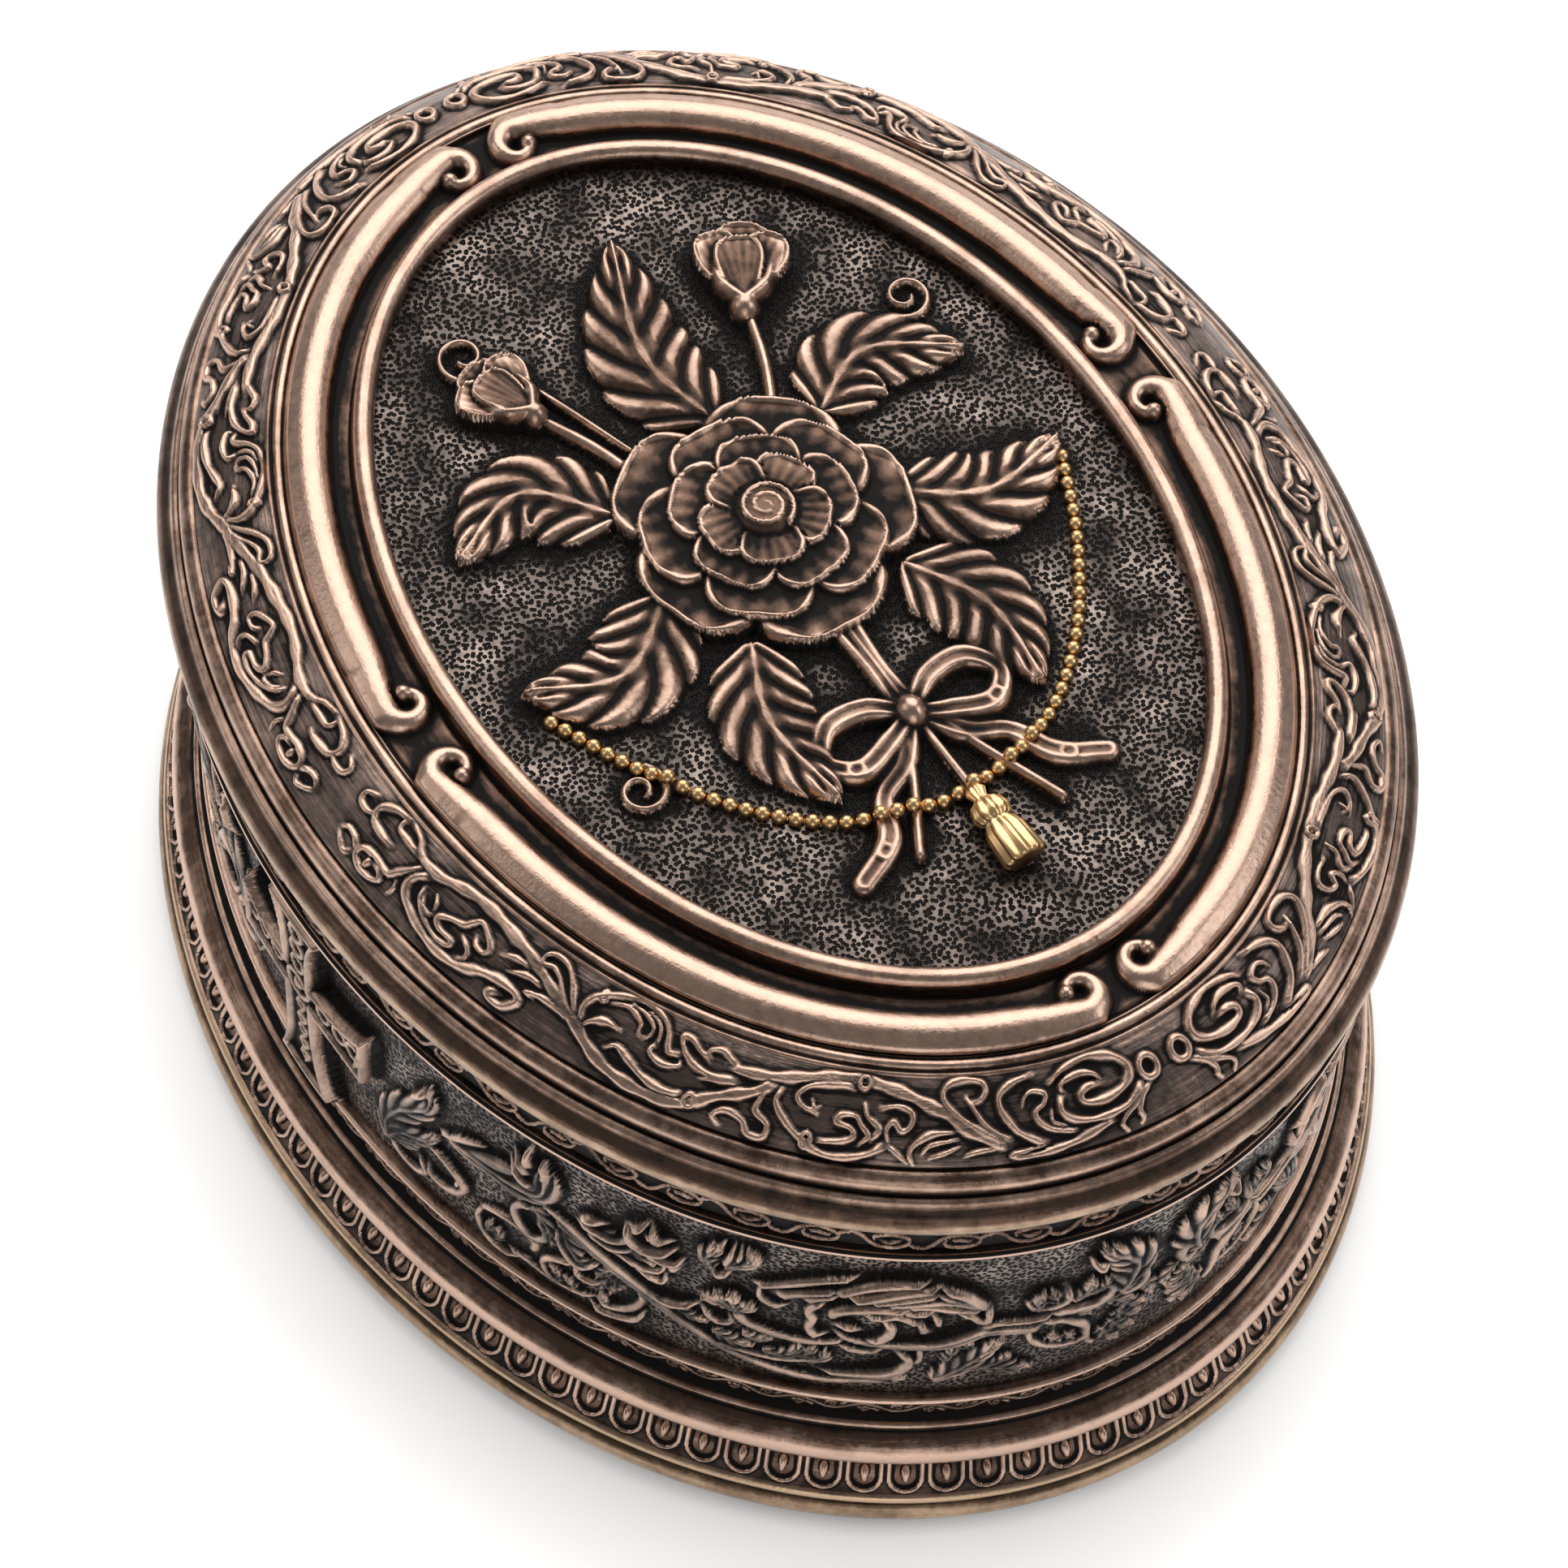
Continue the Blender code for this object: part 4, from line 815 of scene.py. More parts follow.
    # The great whorl: feathers that sweep up from the left, over its eye and down to the right.
    for places, radius, rise in (
            ([(48.2, .34), (50.2, .30), (52.6, .25), (55.0, .205), (57.8, .172)], (.3, .5, .2), 1.3),
            ([(48.8, .36), (48.9, .41), (50.2, .445), (51.6, .435)], (.25, .35, .2), 1.0),
            ([(50.4, .375), (51.6, .33), (54.0, .29), (56.4, .262)], (.75, .5, .3), 1.5),
            ([(55.6, .285), (57.2, .238), (59.4, .192), (62.2, .172), (64.6, .180)], (.35, .5, .25), 1.8),
            ([(56.8, .298), (59.0, .268), (61.4, .228), (63.6, .205), (65.8, .200)], (.3, .6, .3), 2.0),
            ([(52.8, .375), (54.4, .322), (56.6, .292)], (.3, .45, .25), 1.4),
            ([(58.6, .315), (60.6, .290), (63.4, .262), (66.0, .240)], (.25, .4, .3), 1.7),
            ([(60.0, .312), (63.0, .292), (66.2, .280), (68.2, .305), (70.0, .350)], (.3, .5, .3), 1.8),
            ([(62.0, .328), (64.4, .312), (66.6, .335), (68.8, .352), (70.4, .372)], (.3, .5, .3), 1.7),
            ([(65.4, .205), (67.4, .238), (69.0, .290), (70.6, .360)], (.4, .6, .4), 1.9),
            ([(64.8, .240), (66.8, .262), (68.6, .300), (70.0, .345)], (.25, .4, .25), 1.8),
            ([(67.0, .380), (68.6, .392), (69.6, .430), (70.6, .440), (70.7, .375)], (.3, .45, .4), 1.6),
            ([(56.3, .445), (55.8, .405), (56.8, .372), (58.8, .352), (61.0, .345), (63.2, .365)],
             (.6, .55, .3), 1.7),
            ([(55.2, .345), (54.0, .385), (53.5, .43), (53.9, .475), (53.6, .53), (54.2, .572),
              (55.4, .575)], (.35, .55, .35), 1.4),
            ([(58.2, .405), (60.2, .422), (61.6, .402), (63.0, .430), (64.2, .475)], (.25, .4, .3), 1.3),
            ([(60.2, .435), (61.2, .470), (61.3, .520), (60.4, .565), (58.8, .590)], (.3, .6, .3), 1.4),
            ([(56.0, .520), (57.2, .500), (58.6, .530)], (.5, .4, .2), 1.3),
            ([(63.8, .43), (64.3, .475), (64.8, .525)], (.3, .45, .8), (1.2, 1.4, 1.6)),
            ([(65.2, .41), (65.8, .45), (65.8, .495)], (.3, .4, .25), 1.2),
            ([(61.6, .36), (63.6, .385), (65.6, .378)], (.25, .35, .2), 1.3)):
        cord(radius, rise, *places, groove=.2)
    # Leaves in the bowl, and the ones that hang from the second stem.
    leaf(1.0, 1.1, 4, (44.6, .73), (46.6, .755), (48.8, .745))
    cord((.2, .35, .35, .2), .9, (44.4, .785), (47.6, .80), (51.4, .792), (55.4, .74))
    for places in (((49.4, .765), (51.4, .765), (52.8, .70), (52.9, .65)),
                   ((52.0, .765), (53.7, .72), (54.4, .655)),
                   ((54.0, .775), (55.2, .73), (55.4, .68)),
                   ((47.4, .69), (48.8, .69), (50.6, .655))):
        leaf(.75, 1.2, 3, *places)
    cord((.3, .55, .8, .65, .3), (.8, 1.2, 1.6, 1.5, 1.0), (55.0, .845), (58.6, .815), (61.6, .785),
         (63.2, .735), (63.3, .69), (61.8, .652), groove=.2)
    cord((.2, .4, .3), 1.1, (63.6, .735), (64.4, .69), (64.3, .64))
    leaf(.7, 1.1, 3, (60.4, .81), (61.8, .835), (63.4, .83))
    leaf(1.3, 1.6, 5, (65.8, .845), (67.8, .785), (70.0, .70), (72.6, .585))
    leaf(.8, 1.1, 3, (67.0, .735), (67.6, .68), (67.4, .62))
    leaf(.8, 1.0, 3, (69.2, .66), (69.0, .63), (69.4, .60))
    leaf(1.0, 1.1, 4, (70.0, .79), (72.8, .812), (76.4, .845))
    leaf(.8, 1.0, 3, (71.0, .79), (72.8, .765), (73.6, .72))
    leaf(.7, .9, 3, (72.2, .82), (73.6, .855), (75.2, .87))
    # The fan of leaves on its basin, and the ring and leaves under it.
    for wide, *places in ((.8, (76.4, .46), (75.6, .40), (76.2, .33)),
                          (.8, (77.8, .45), (77.6, .39), (76.9, .335)),
                          (.9, (79.6, .455), (80.9, .41), (81.6, .34)),
                          (.8, (81.6, .45), (82.7, .41), (83.1, .36))):
        leaf(wide, 1.5, 3, *places)
    cord((.25, .5, .6), (1.0, 1.3, 1.6), (75.8, .458), (77.6, .44), (78.8, .405), (78.4, .345))
    cord((.4, .7, .75, .5, .3), (1.1, 1.6, 1.6, 1.4, 1.1), (76.8, .51), (79.4, .492), (81.8, .505),
         (83.4, .485), (83.9, .45), (83.2, .415), (82.0, .43), groove=.2)
    cord((.4, .6, .5, .3), (1.1, 1.4, 1.2, .9), (76.0, .56), (78.4, .555), (80.2, .60), (81.5, .66),
         (81.8, .72), (82.2, .785), (83.8, .825), groove=.2)
    leaf(.7, 1.1, 3, (78.6, .53), (80.4, .555), (82.2, .59))
    cord((.3, .4, .4, .3), 1.0, (75.3, .60), (75.6, .66), (77.2, .712), (79.2, .74), (81.2, .742),
         (82.4, .705))
    leaf(.6, 1.1, 2, (77.4, .665), (78.4, .70), (79.2, .715))
    leaf(.6, 1.1, 2, (79.6, .68), (80.2, .715), (80.6, .73))
    # The tall leaf that turns over at the end of the long axis, and the leaves below its hook.
    leaf(1.8, 2.0, 5, (85.2, .50), (86.0, .41), (86.2, .32), (84.8, .245), (83.2, .19), (81.8, .13))
    cord((.3, .6, .5), 1.8, (80.9, .205), (81.6, .24), (83.4, .245))
    cord((.6, .6, .5, .3), (1.6, 1.6, 1.4, 1.0), (86.6, .385), (87.5, .42), (87.7, .47), (87.0, .515),
         (85.4, .525), (84.8, .50), groove=.2)
    for wide, *places in ((.8, (83.0, .515), (84.8, .56), (87.2, .60)),
                          (.8, (87.4, .53), (88.8, .57), (89.2, .64)),
                          (.9, (85.6, .59), (87.0, .645), (88.8, .665)),
                          (.9, (85.2, .65), (86.6, .70), (88.6, .72)),
                          (.8, (84.6, .70), (86.0, .77), (88.0, .80)),
                          (.8, (83.6, .73), (84.6, .80), (86.2, .86))):
        leaf(wide, 1.2, 3, *places)
    model_cross(relief, width)


def model_cross(relief, width):
    """An upright cross at x = 0, its arms flared at their ends, with a border and tracery.

    Its edge is the half width plus a flare, which grows with the fourth power of the distance
    along the shaft and the cube of that along the beam. The plate stands level, its border a
    little higher, and fine curls and rings fill the sunk inside.
    """
    x, y = relief.place[..., 0], relief.place[..., 1]
    beam = 0.42 * width
    up, down = beam - 0.2, width - beam - 0.2
    along_shaft = np.where(y < beam, (beam - y) / up, (y - beam) / down)
    shaft = CROSS_WIDTH + 1.5 * np.clip(along_shaft, 0, 1) ** 4 - np.abs(x)
    shaft = np.minimum(shaft, (1 - along_shaft) * np.where(y < beam, up, down))
    along_beam = np.abs(x) / CROSS_ARM
    beam_edge = CROSS_WIDTH * 0.95 + 1.4 * np.clip(along_beam, 0, 1) ** 3 - np.abs(y - beam)
    beam_edge = np.minimum(beam_edge, CROSS_ARM - np.abs(x))
    edge = np.maximum(shaft, beam_edge)
    plate = CROSS_PROUD * np.clip(edge / 0.30, 0, 1) ** 0.5
    border = 0.22 * np.clip(1 - ((edge - 0.42) / 0.26) ** 2, 0, 1) ** 0.5
    sunk = -0.45 * np.clip((edge - 0.70) / 0.15, 0, 1)
    tracery = Relief(x, y)
    for k in range(7):
        at = beam + 3.1 + 1.85 * k
        if at < width - 1.5:
            tracery.curl(0.0, at, 0.85, 90 + 180 * (k % 2), 1.2 * (-1) ** k, (0.24, 0.18), 0.45)
    for at in (beam - 2.7, beam - 4.9, beam - 6.9):
        tracery.ring(0.0, at, 0.75, 0.22, 0.45, 1.15)
    for at in (3.0, 4.9, 6.5):
        tracery.ring(at, beam, 0.72, 0.22, 0.45, 1.1)
    tracery.ring(0.0, beam, 1.3, 0.30, 0.55)
    tracery.knob(0.0, beam, 0.7, 0.60)
    inside = edge > 0.55
    height = plate + border + sunk + np.where(inside, tracery.height, 0)
    relief.height = np.where(edge > 0, np.maximum(height, 0), relief.height)


frieze_bronze = cast_bronze("frieze_bronze", (0.125, 0.100, 0.084), wear_and_shade=-0.22)
frieze_outline = moulding([(WALL_OFFSET, FRIEZE_TOP), (WALL_OFFSET, FRIEZE_FOOT)])
quarter_bands("frieze", frieze_outline, model_frieze, "base", frieze_bronze, "base_shell",
              cell=0.162, crest=(3, 0.44), pebbled=1.0)


# The lid casting: the same resin, poured with its rim bead, cove, bed and panel frame in one,
# and a lip below that drops inside the base. It lifts straight off.
lid_outline = moulding([
    (-9.6, 45.9), (-7.6, 43.9, 0.4), (-7.6, 34.9), (-6.0, 34.9), (-6.0, 37.9), (-1.6, 37.9),
    (-1.6, 41.2), (-0.9, 41.3), (-0.9, 43.9, 0.9), (-1.05, 44.2), (-1.6, 44.45, 0.10),
    (-1.65, 44.3), (-1.75, 44.5), (-2.7, 46.0, 0.50), (-2.85, 45.95), (-3.1, 46.05),
    (-8.0, 48.6, 0.3), (-9.4, 48.7), (-15.2, 48.7)])
# Painted light on the lid: painted shadow on the skirt under the rim bead, painted shade on the bead's
# upper belly, and painted shade on the step above it, below and above its crest.
lid_painted_light = [(37.9, 41.25, -2.0), (42.96, 43.80, -0.45), (44.46, 45.15, -0.35),
              (45.5, 45.96, -0.35)]
lid_casting = turned_oval("lid_casting", lid_outline, 0.7 * MM, lid_painted_light, [(41.35, 42.96, 0.7)])
dress(lid_casting, "lid", moulded_bronze, "cast_bronze_resin", "lid_shell")


# The lid's skirt: long loops of thin stem, each with a leaf in it and one beside it, on ground
# under the rim bead that is black with patina and with painted shadow of the bead. They are
# pressed into the same mould.
SKIRT_LOOPS, SKIRT_RISE = 15, 0.36


def model_skirt(relief, length, width):
    """One long oval loop over each pitch, on a thin stem that starts under the loop before it.

    Every other loop is turned upside down; places are (share of the pitch, share of the width).
    """
    pitch = length / SKIRT_LOOPS
    relief.place[..., 0] %= 2 * pitch
    for loop in (-1, 0, 1, 2):
        def at(*places, loop=loop):
            return [((loop + 0.5 + x) * pitch, (0.60 + (-1) ** loop * y) * width)
                    for x, y in places]
        relief.cord(at((-.62, -.24), (-.50, -.30), (-.36, -.16), (-.24, .10), (-.10, .27),
                       (.08, .30), (.24, .20), (.33, .02), (.28, -.16), (.12, -.26), (-.06, -.25),
                       (-.18, -.14), (-.16, .02)), (.11, .15, .12, .16, .12, .15, .10), SKIRT_RISE)
        relief.cord(at((-.08, .02), (.02, .08), (.12, .02), (.20, -.02)), (.08, .26, .08),
                    SKIRT_RISE)
        relief.cord(at((.30, .10), (.38, .22), (.46, .24)), (.08, .20, .08), SKIRT_RISE)


# The value below zero darkens the skirt with patina and with painted shadow under the rim bead.
skirt_shadowed_bronze = cast_bronze("skirt_shadowed_bronze", BRONZE, wear_and_shade=-0.34)
skirt_outline = moulding([(-1.2, 41.1), (-1.2, 38.0)])
quarter_bands("lid_scrolls", skirt_outline, model_skirt, "lid", skirt_shadowed_bronze, "lid_shell",
              cell=0.12, crest=(3, 0.22))


# The cove's scrollwork: fine cords of leaf and stem on the smooth slope of the lid, mirrored
# from quarter to quarter like the frieze, and rubbed to bright copper along their backs.
COVE_CORD = 1.10


def model_scrollwork(relief, length, width):
    """Scrolling stems; places are (degrees from the short axis, share of the way down).

    COVE_CORD x a cord's written radius gives the real one.
    """
    def cord(radius, rise, *places, groove=0.0):
        relief.cord([(length * turn / 90, width * share) for turn, share in places],
                    COVE_CORD * np.atleast_1d(radius), rise, groove, dome=1.0, swell=0.14,
                    taper=0.8)

    def ring(turn, share, radius, stretch, thick=.24, rise=.34):
        relief.ring(length * turn / 90, width * share, radius, thick, rise, stretch)

    # The small paired rings by the plain gap.
    cord(.26, .34, (2.6, .16), (1.5, .23), (1.8, .33), (3.0, .35), (3.8, .30), (3.5, .23))
    cord((.3, .36, .3), .38, (7.0, .045), (5.2, .08), (4.0, .17), (3.8, .27), (4.5, .36),
         (6.3, .395), (7.6, .40))
    cord(.26, .34, (7.0, .05), (6.6, .11), (6.9, .20), (8.4, .215), (10.1, .235))
    cord(.26, .34, (7.4, .04), (9.1, .09), (10.1, .18), (11.6, .23))
    cord(.26, .34, (2.3, .70), (3.1, .63), (4.2, .65), (4.9, .71), (5.1, .76))
    cord(.24, .32, (2.4, .73), (3.1, .80), (4.2, .86), (4.8, .80))
    # The stem that falls to the lower curl.
    cord((.34, .3, .26), .38, (11.5, .29), (10.5, .44), (9.8, .54), (9.1, .63), (7.1, .61),
         (5.6, .65), (5.4, .76), (6.5, .835), (8.0, .83), (8.9, .76), (8.3, .68), (7.2, .67))
    relief.knob(length * 6.9 / 90, width * .735, .3, .36, stretch=1.5)
    cord(.22, .30, (10.2, .60), (10.6, .70), (10.4, .80))
    # The main stem: over the first arch, through the bowl, and up to the second arch.
    cord((.36, .44, .50, .46, .50, .46, .44), (.42, .50, .50), (10.1, .20), (11.5, .235),
         (13.3, .225), (15.0, .165), (17.2, .105), (19.3, .095), (21.4, .125), (24.5, .195),
         (27, .285), (29.1, .39), (31.2, .50), (32.9, .59), (34, .68), (35.6, .78), (37.8, .865),
         (40.4, .90), (42.8, .89), (44.9, .83), (46.6, .69), (48.3, .58), (50.2, .48),
         (51.6, .37), (52.2, .28), groove=.25)
    cord((.40, .46, .50, .48, .44), .50, (47.6, .27), (48.8, .28), (50.9, .262), (53, .215),
         (55.5, .145), (58, .09), (60.4, .075), (62.5, .12), (64.3, .18), (66.4, .285),
         (68.5, .41), (69.9, .55), (71.6, .68), (73.8, .795), groove=.25)
    ring(60.6, .115, .36, 1.1, .2, .62)
    ring(45.2, .775, .36, 1.2, .2, .56)
    # The great curl under the first arch, with its inner leaf.
    cord((.40, .42, .42, .34), .44, (12.6, .30), (11.6, .42), (11.4, .54), (12.2, .665),
         (14.3, .77), (16.8, .845), (19.3, .85), (21, .79), (22.4, .71), (24.2, .66), (26.1, .66),
         (26.9, .72), (26.5, .80), (25.7, .885), (24.5, .885), (24.0, .83), (25.1, .785))
    cord((.22, .30, .24), .36, (12.9, .44), (13.3, .56), (14.7, .675), (16.8, .75), (18.3, .73),
         (18.3, .66), (16.6, .645), (15.9, .56), (17.0, .48), (18.4, .43), (18.9, .36),
         (19.7, .275), (21.0, .345), (21.9, .45), (21.6, .53), (20.6, .52), (20.1, .455))
    cord((.22, .28, .18), .34, (18.9, .54), (20.2, .62), (20.3, .73), (19.1, .80))
    cord((.16, .24, .18), .32, (13.3, .48), (14, .58), (15.0, .62), (15.5, .56))
    cord((.14, .24, .18), .32, (14.3, .395), (15.0, .48), (15.2, .58))
    # Leaf strokes on both sides of the falling stem.
    cord((.30, .34, .12), .38, (26.6, .345), (24.6, .345), (23.0, .42))
    cord((.30, .34, .12), .38, (28.4, .45), (26.5, .43), (24.4, .53))
    cord((.34, .32, .12), .38, (32.2, .585), (29.4, .53), (27.0, .585), (28.1, .605))
    cord((.32, .30, .26, .26, .30), .38, (32.6, .54), (31.5, .38), (30.5, .21), (29.2, .08),
         (27.7, .055), (26.8, .12), (27.0, .215), (28.2, .19), (29.4, .27), (30.6, .42),
         (31.8, .52))
    # The big leaf that curls over the bowl, with its eye and inner lines.
    cord((.38, .34, .36, .30, .28), (.44, .50, .44), (33.2, .56), (32.6, .38), (33.1, .225),
         (34.4, .11), (36.4, .02), (38.4, .005), (40.2, .07), (41.1, .19), (41.5, .32),
         (41.9, .38), (42.9, .36))
    ring(33.9, .155, .26, 1.5, .17, .42)
    cord((.18, .24, .2), .38, (34.65, .182), (36.6, .13), (38.2, .22), (38.4, .33), (38.9, .37))
    cord((.16, .22, .18), .40, (36.0, .075), (38.2, .11), (39.5, .20), (39.5, .31), (38.9, .36))
    cord((.16, .22, .18), .40, (38.0, .05), (39.8, .13), (40.4, .24), (40.4, .34))
    cord((.26, .30, .20), .38, (40.4, .36), (40.1, .46), (41.5, .53), (43.1, .48), (43.1, .42))
    cord((.20, .40, .12), .40, (33.1, .60), (33.9, .47), (35.2, .39), (36.9, .41))
    cord((.22, .34, .38, .30), .42, (36.0, .66), (37.1, .57), (38.7, .65), (40.4, .745),
         (42.2, .79), (44.4, .76))
    cord((.16, .22, .14), .34, (34.7, .66), (36.0, .76), (37.8, .82))
    # The wavy leaf before the second arch.
    cord((.28, .30, .34), .38, (45.7, .295), (44.5, .225), (43.5, .15), (42.5, .15), (42.9, .26),
         (44.3, .39), (46.4, .44), (48.9, .40))
    cord((.22, .28, .34), .38, (45.7, .295), (45.4, .19), (46.6, .14), (47.8, .21), (48.8, .27))
    cord((.16, .34, .16), .36, (45.3, .515), (46.7, .475), (49.2, .42))
    # The curl under the second arch, its eye, leaves and hanging tips.
    cord((.26, .30, .26), .36, (51.8, .36), (51.3, .50), (51.1, .65), (52.4, .77), (52.2, .92),
         (50.9, .92), (50.2, .80), (48.6, .74), (47.5, .83), (48.1, .92))
    cord((.28, .34, .30), .40, (53.0, .33), (52.7, .50), (54.1, .70), (55.6, .83), (56.9, .93),
         (59.0, .96), (61.3, .89), (62.9, .77))
    ring(56.0, .835, .30, 1.7, .18, .40)
    cord((.28, .30, .22), .38, (56.9, .82), (59.0, .78), (60.1, .71), (59.8, .62), (58.5, .57),
         (58.8, .49), (60.1, .48), (60.7, .57), (61.4, .68), (60.6, .80))
    cord((.40, .34, .26, .20), .42, (59.9, .16), (57.3, .185), (55.3, .26), (54.5, .38),
         (55.2, .47), (56.6, .53))
    cord((.14, .22, .14), .34, (55.9, .38), (56.3, .47), (56.8, .44))
    cord((.14, .30, .24), .36, (60.8, .33), (61.2, .47), (62.3, .59), (61.6, .74))
    cord((.22, .30, .20), .38, (62.3, .365), (63.9, .33), (65.2, .39), (65.2, .52), (64.4, .60),
         (63.6, .50), (63.0, .59), (63.2, .73))
    cord((.16, .26, .12), .34, (63.0, .76), (63.9, .83), (65.0, .955))
    cord((.22, .34, .26, .12), .38, (69.2, .60), (67.2, .62), (65.7, .72), (65.1, .84),
         (65.5, .97))
    cord((.16, .24, .12), .34, (69.4, .68), (67.0, .74), (66.2, .84))
    cord((.10, .26, .12), .34, (69.6, .76), (68.2, .83), (66.8, .89))
    cord((.30, .28, .12), .38, (73.0, .80), (71.0, .83), (69.9, .88))
    # The tall loops and nested curves beside the last spiral.
    cord((.38, .32, .34, .28), .46, (73.8, .78), (71.3, .59), (68.9, .365), (68.1, .20),
         (68.7, .08), (70.2, .035), (71.9, .075), (72.2, .18), (71.5, .27), (70.8, .285))
    cord((.20, .28, .36), .40, (70.3, .23), (71.1, .39), (72.1, .57), (74.3, .76))
    cord((.30, .34, .36, .34), .46, (76.9, .06), (74.7, .125), (73.5, .23), (73.4, .37),
         (74.1, .535), (75.1, .685), (77.2, .84))
    cord((.18, .26, .28, .30), .38, (75.5, .385), (75.8, .30), (76.6, .245), (77.8, .30),
         (77.5, .40), (76.6, .475), (76.9, .60), (78.1, .71), (80.2, .775))
    cord((.14, .20, .16), .34, (78.1, .50), (78.1, .62), (79.5, .71))
    cord((.36, .34, .32, .36), .46, (79.3, .36), (79.0, .51), (79.9, .64), (81.9, .705),
         (84.4, .695), (85.9, .62), (87.2, .50))
    cord((.26, .40, .42, .40, .32), .50, (78.4, .19), (80.1, .085), (82.4, .03), (84.4, .07),
         (85.6, .155), (86.3, .275), (86.1, .395), (84.9, .49), (83.1, .535), (81.4, .50),
         (81.1, .405), (81.9, .345), (83.3, .35))
    cord((.24, .34, .36, .24), .46, (79.7, .345), (79.4, .265), (80.1, .205), (81.6, .18),
         (82.9, .235), (83.5, .33))
    # The paired rings and pendant leaves at the end of the long axis.
    ring(88.2, .385, .62, 1.15, .30, .46)
    cord((.30, .36, .24, .12), .42, (87.9, .53), (86.6, .64), (84.9, .76), (84.1, .86),
         (84.5, .975))
    cord((.28, .24, .14), .40, (87.2, .57), (86.0, .77), (86.1, .88), (85.8, .95))
    cord((.40, .36, .30, .14), .42, (83.6, .76), (81.4, .835), (79.4, .89), (76.9, .93),
         (74.8, .935), (74.2, .90), (75.9, .86), (77.4, .845))


scrollwork_bronze = cast_bronze("scrollwork_bronze", (0.165, 0.122, 0.106), wear_and_shade=0.09, streaks=0.20)
cove_outline = moulding([(-7.7, 49.2), (-2.75, 46.4, -0.4)])
quarter_bands("cove", cove_outline, model_scrollwork, "lid", scrollwork_bronze, "lid_shell",
              cell=0.105, crest=(4, 0.25))


# The panel's frame: four half-round rolls lie on a flat bed, each hooked into a small volute at
# both ends, between a thin outer step and the bead that holds the panel's edge. HALF_GAPS are
# half the gaps between two rolls, at the ends of the short axis and of the long one.
ROLL_OUTSIDE, ROLL_HALF, ROLL_RISE = 2.62, 1.53, 1.40
HOOK_TURN, HOOK_PATH = 255, (1.42, 0.86)
HOOK_THICK = ((0.0, 0.62), (0.8, 0.60), (2.6, 0.78), (4.4, 1.05), (6.6, 1.32), (10.5, ROLL_HALF))
HOOK_MIDDLE = 2.25
HALF_GAPS = (0.72, 0.28)


def model_rolls(relief, length, width):
    """A half-round roll along x, hooked at both ends: height = rise x (1 - (d / half)^2)^0.55.

    A hook's path is a spiral whose reach shrinks evenly, over HOOK_PATH in mm, as it turns in from
    the roll towards the panel. The roll thins towards the hook's tip, by the half widths of
    HOOK_THICK at so many mm from it, but keeps to the groove on its outer side.
    """
    turn = np.radians(np.linspace(HOOK_TURN, 0, 14))
    reach = np.linspace(HOOK_PATH[1], HOOK_PATH[0], 14)
    tip_to_roll, thick = np.array(HOOK_THICK).T
    outer = ROLL_OUTSIDE + thick[3] + HOOK_PATH[0]
    hook = np.column_stack([-reach * np.sin(turn), outer - reach * np.cos(turn)])
    lead = np.array([(1.2, 1.18), (3.0, 1.36), (6.0, 1.53)]) + (0, ROLL_OUTSIDE)
    half_path = np.vstack([hook, lead])
    left = half_path + (HALF_GAPS[0] + HOOK_MIDDLE, 0)
    right = half_path * (-1, 1) + (length - HALF_GAPS[1] - HOOK_MIDDLE, 0)
    whole = np.vstack([left, [[length / 2, ROLL_OUTSIDE + ROLL_HALF]], right[::-1]])
    run = len(smooth_path(whole)) * PATH_SPACING
    travel = np.linspace(0, run, 900)
    half = np.interp(np.minimum(travel, run - travel), tip_to_roll, thick)
    relief.cord(whole, half, ROLL_RISE * (half / ROLL_HALF) ** 0.5)
    for tip in (left[0], right[0]):
        relief.knob(*tip, 0.74, 1.15)


frame_outline = moulding([
    (-7.72, 49.2), (-7.85, 49.35), (-8.0, 49.35), (-8.1, 49.2), (-8.2, 49.2), (-8.2, 49.3),
    (-8.85, 49.55, 0.2), (-8.95, 49.35), (-9.0, 49.55), (-9.1, 49.55), (-9.2, 49.1),
    (-9.4, 49.1), (-9.5, 49.25), (-13.4, 49.25), (-13.5, 49.1), (-13.6, 49.1), (-13.6, 50.2),
    (-15.1, 50.2, 0.75), (-15.1, 49.0)], step=0.3)
quarter_bands("frame", frame_outline, model_rolls, "lid", moulded_bronze, "lid_shell",
              cell=0.142, crest=(6, 0.42), outline_crest=1.0)


# The panel: a spray of roses with its leaves and buds, its stems tied with a ribbon, on pebbled
# ground. It is cast with the lid and sunk inside its frame.
PANEL_OFFSET, PANEL_FIELD, PANEL_BACK = -14.7, 49.2, 48.6
PANEL_ROWS, PANEL_COLUMNS, PANEL_REACH = 480, 160, 0.9995
GROUND_SHADE = 0.24
ROSE = (-2.5, 0.0)


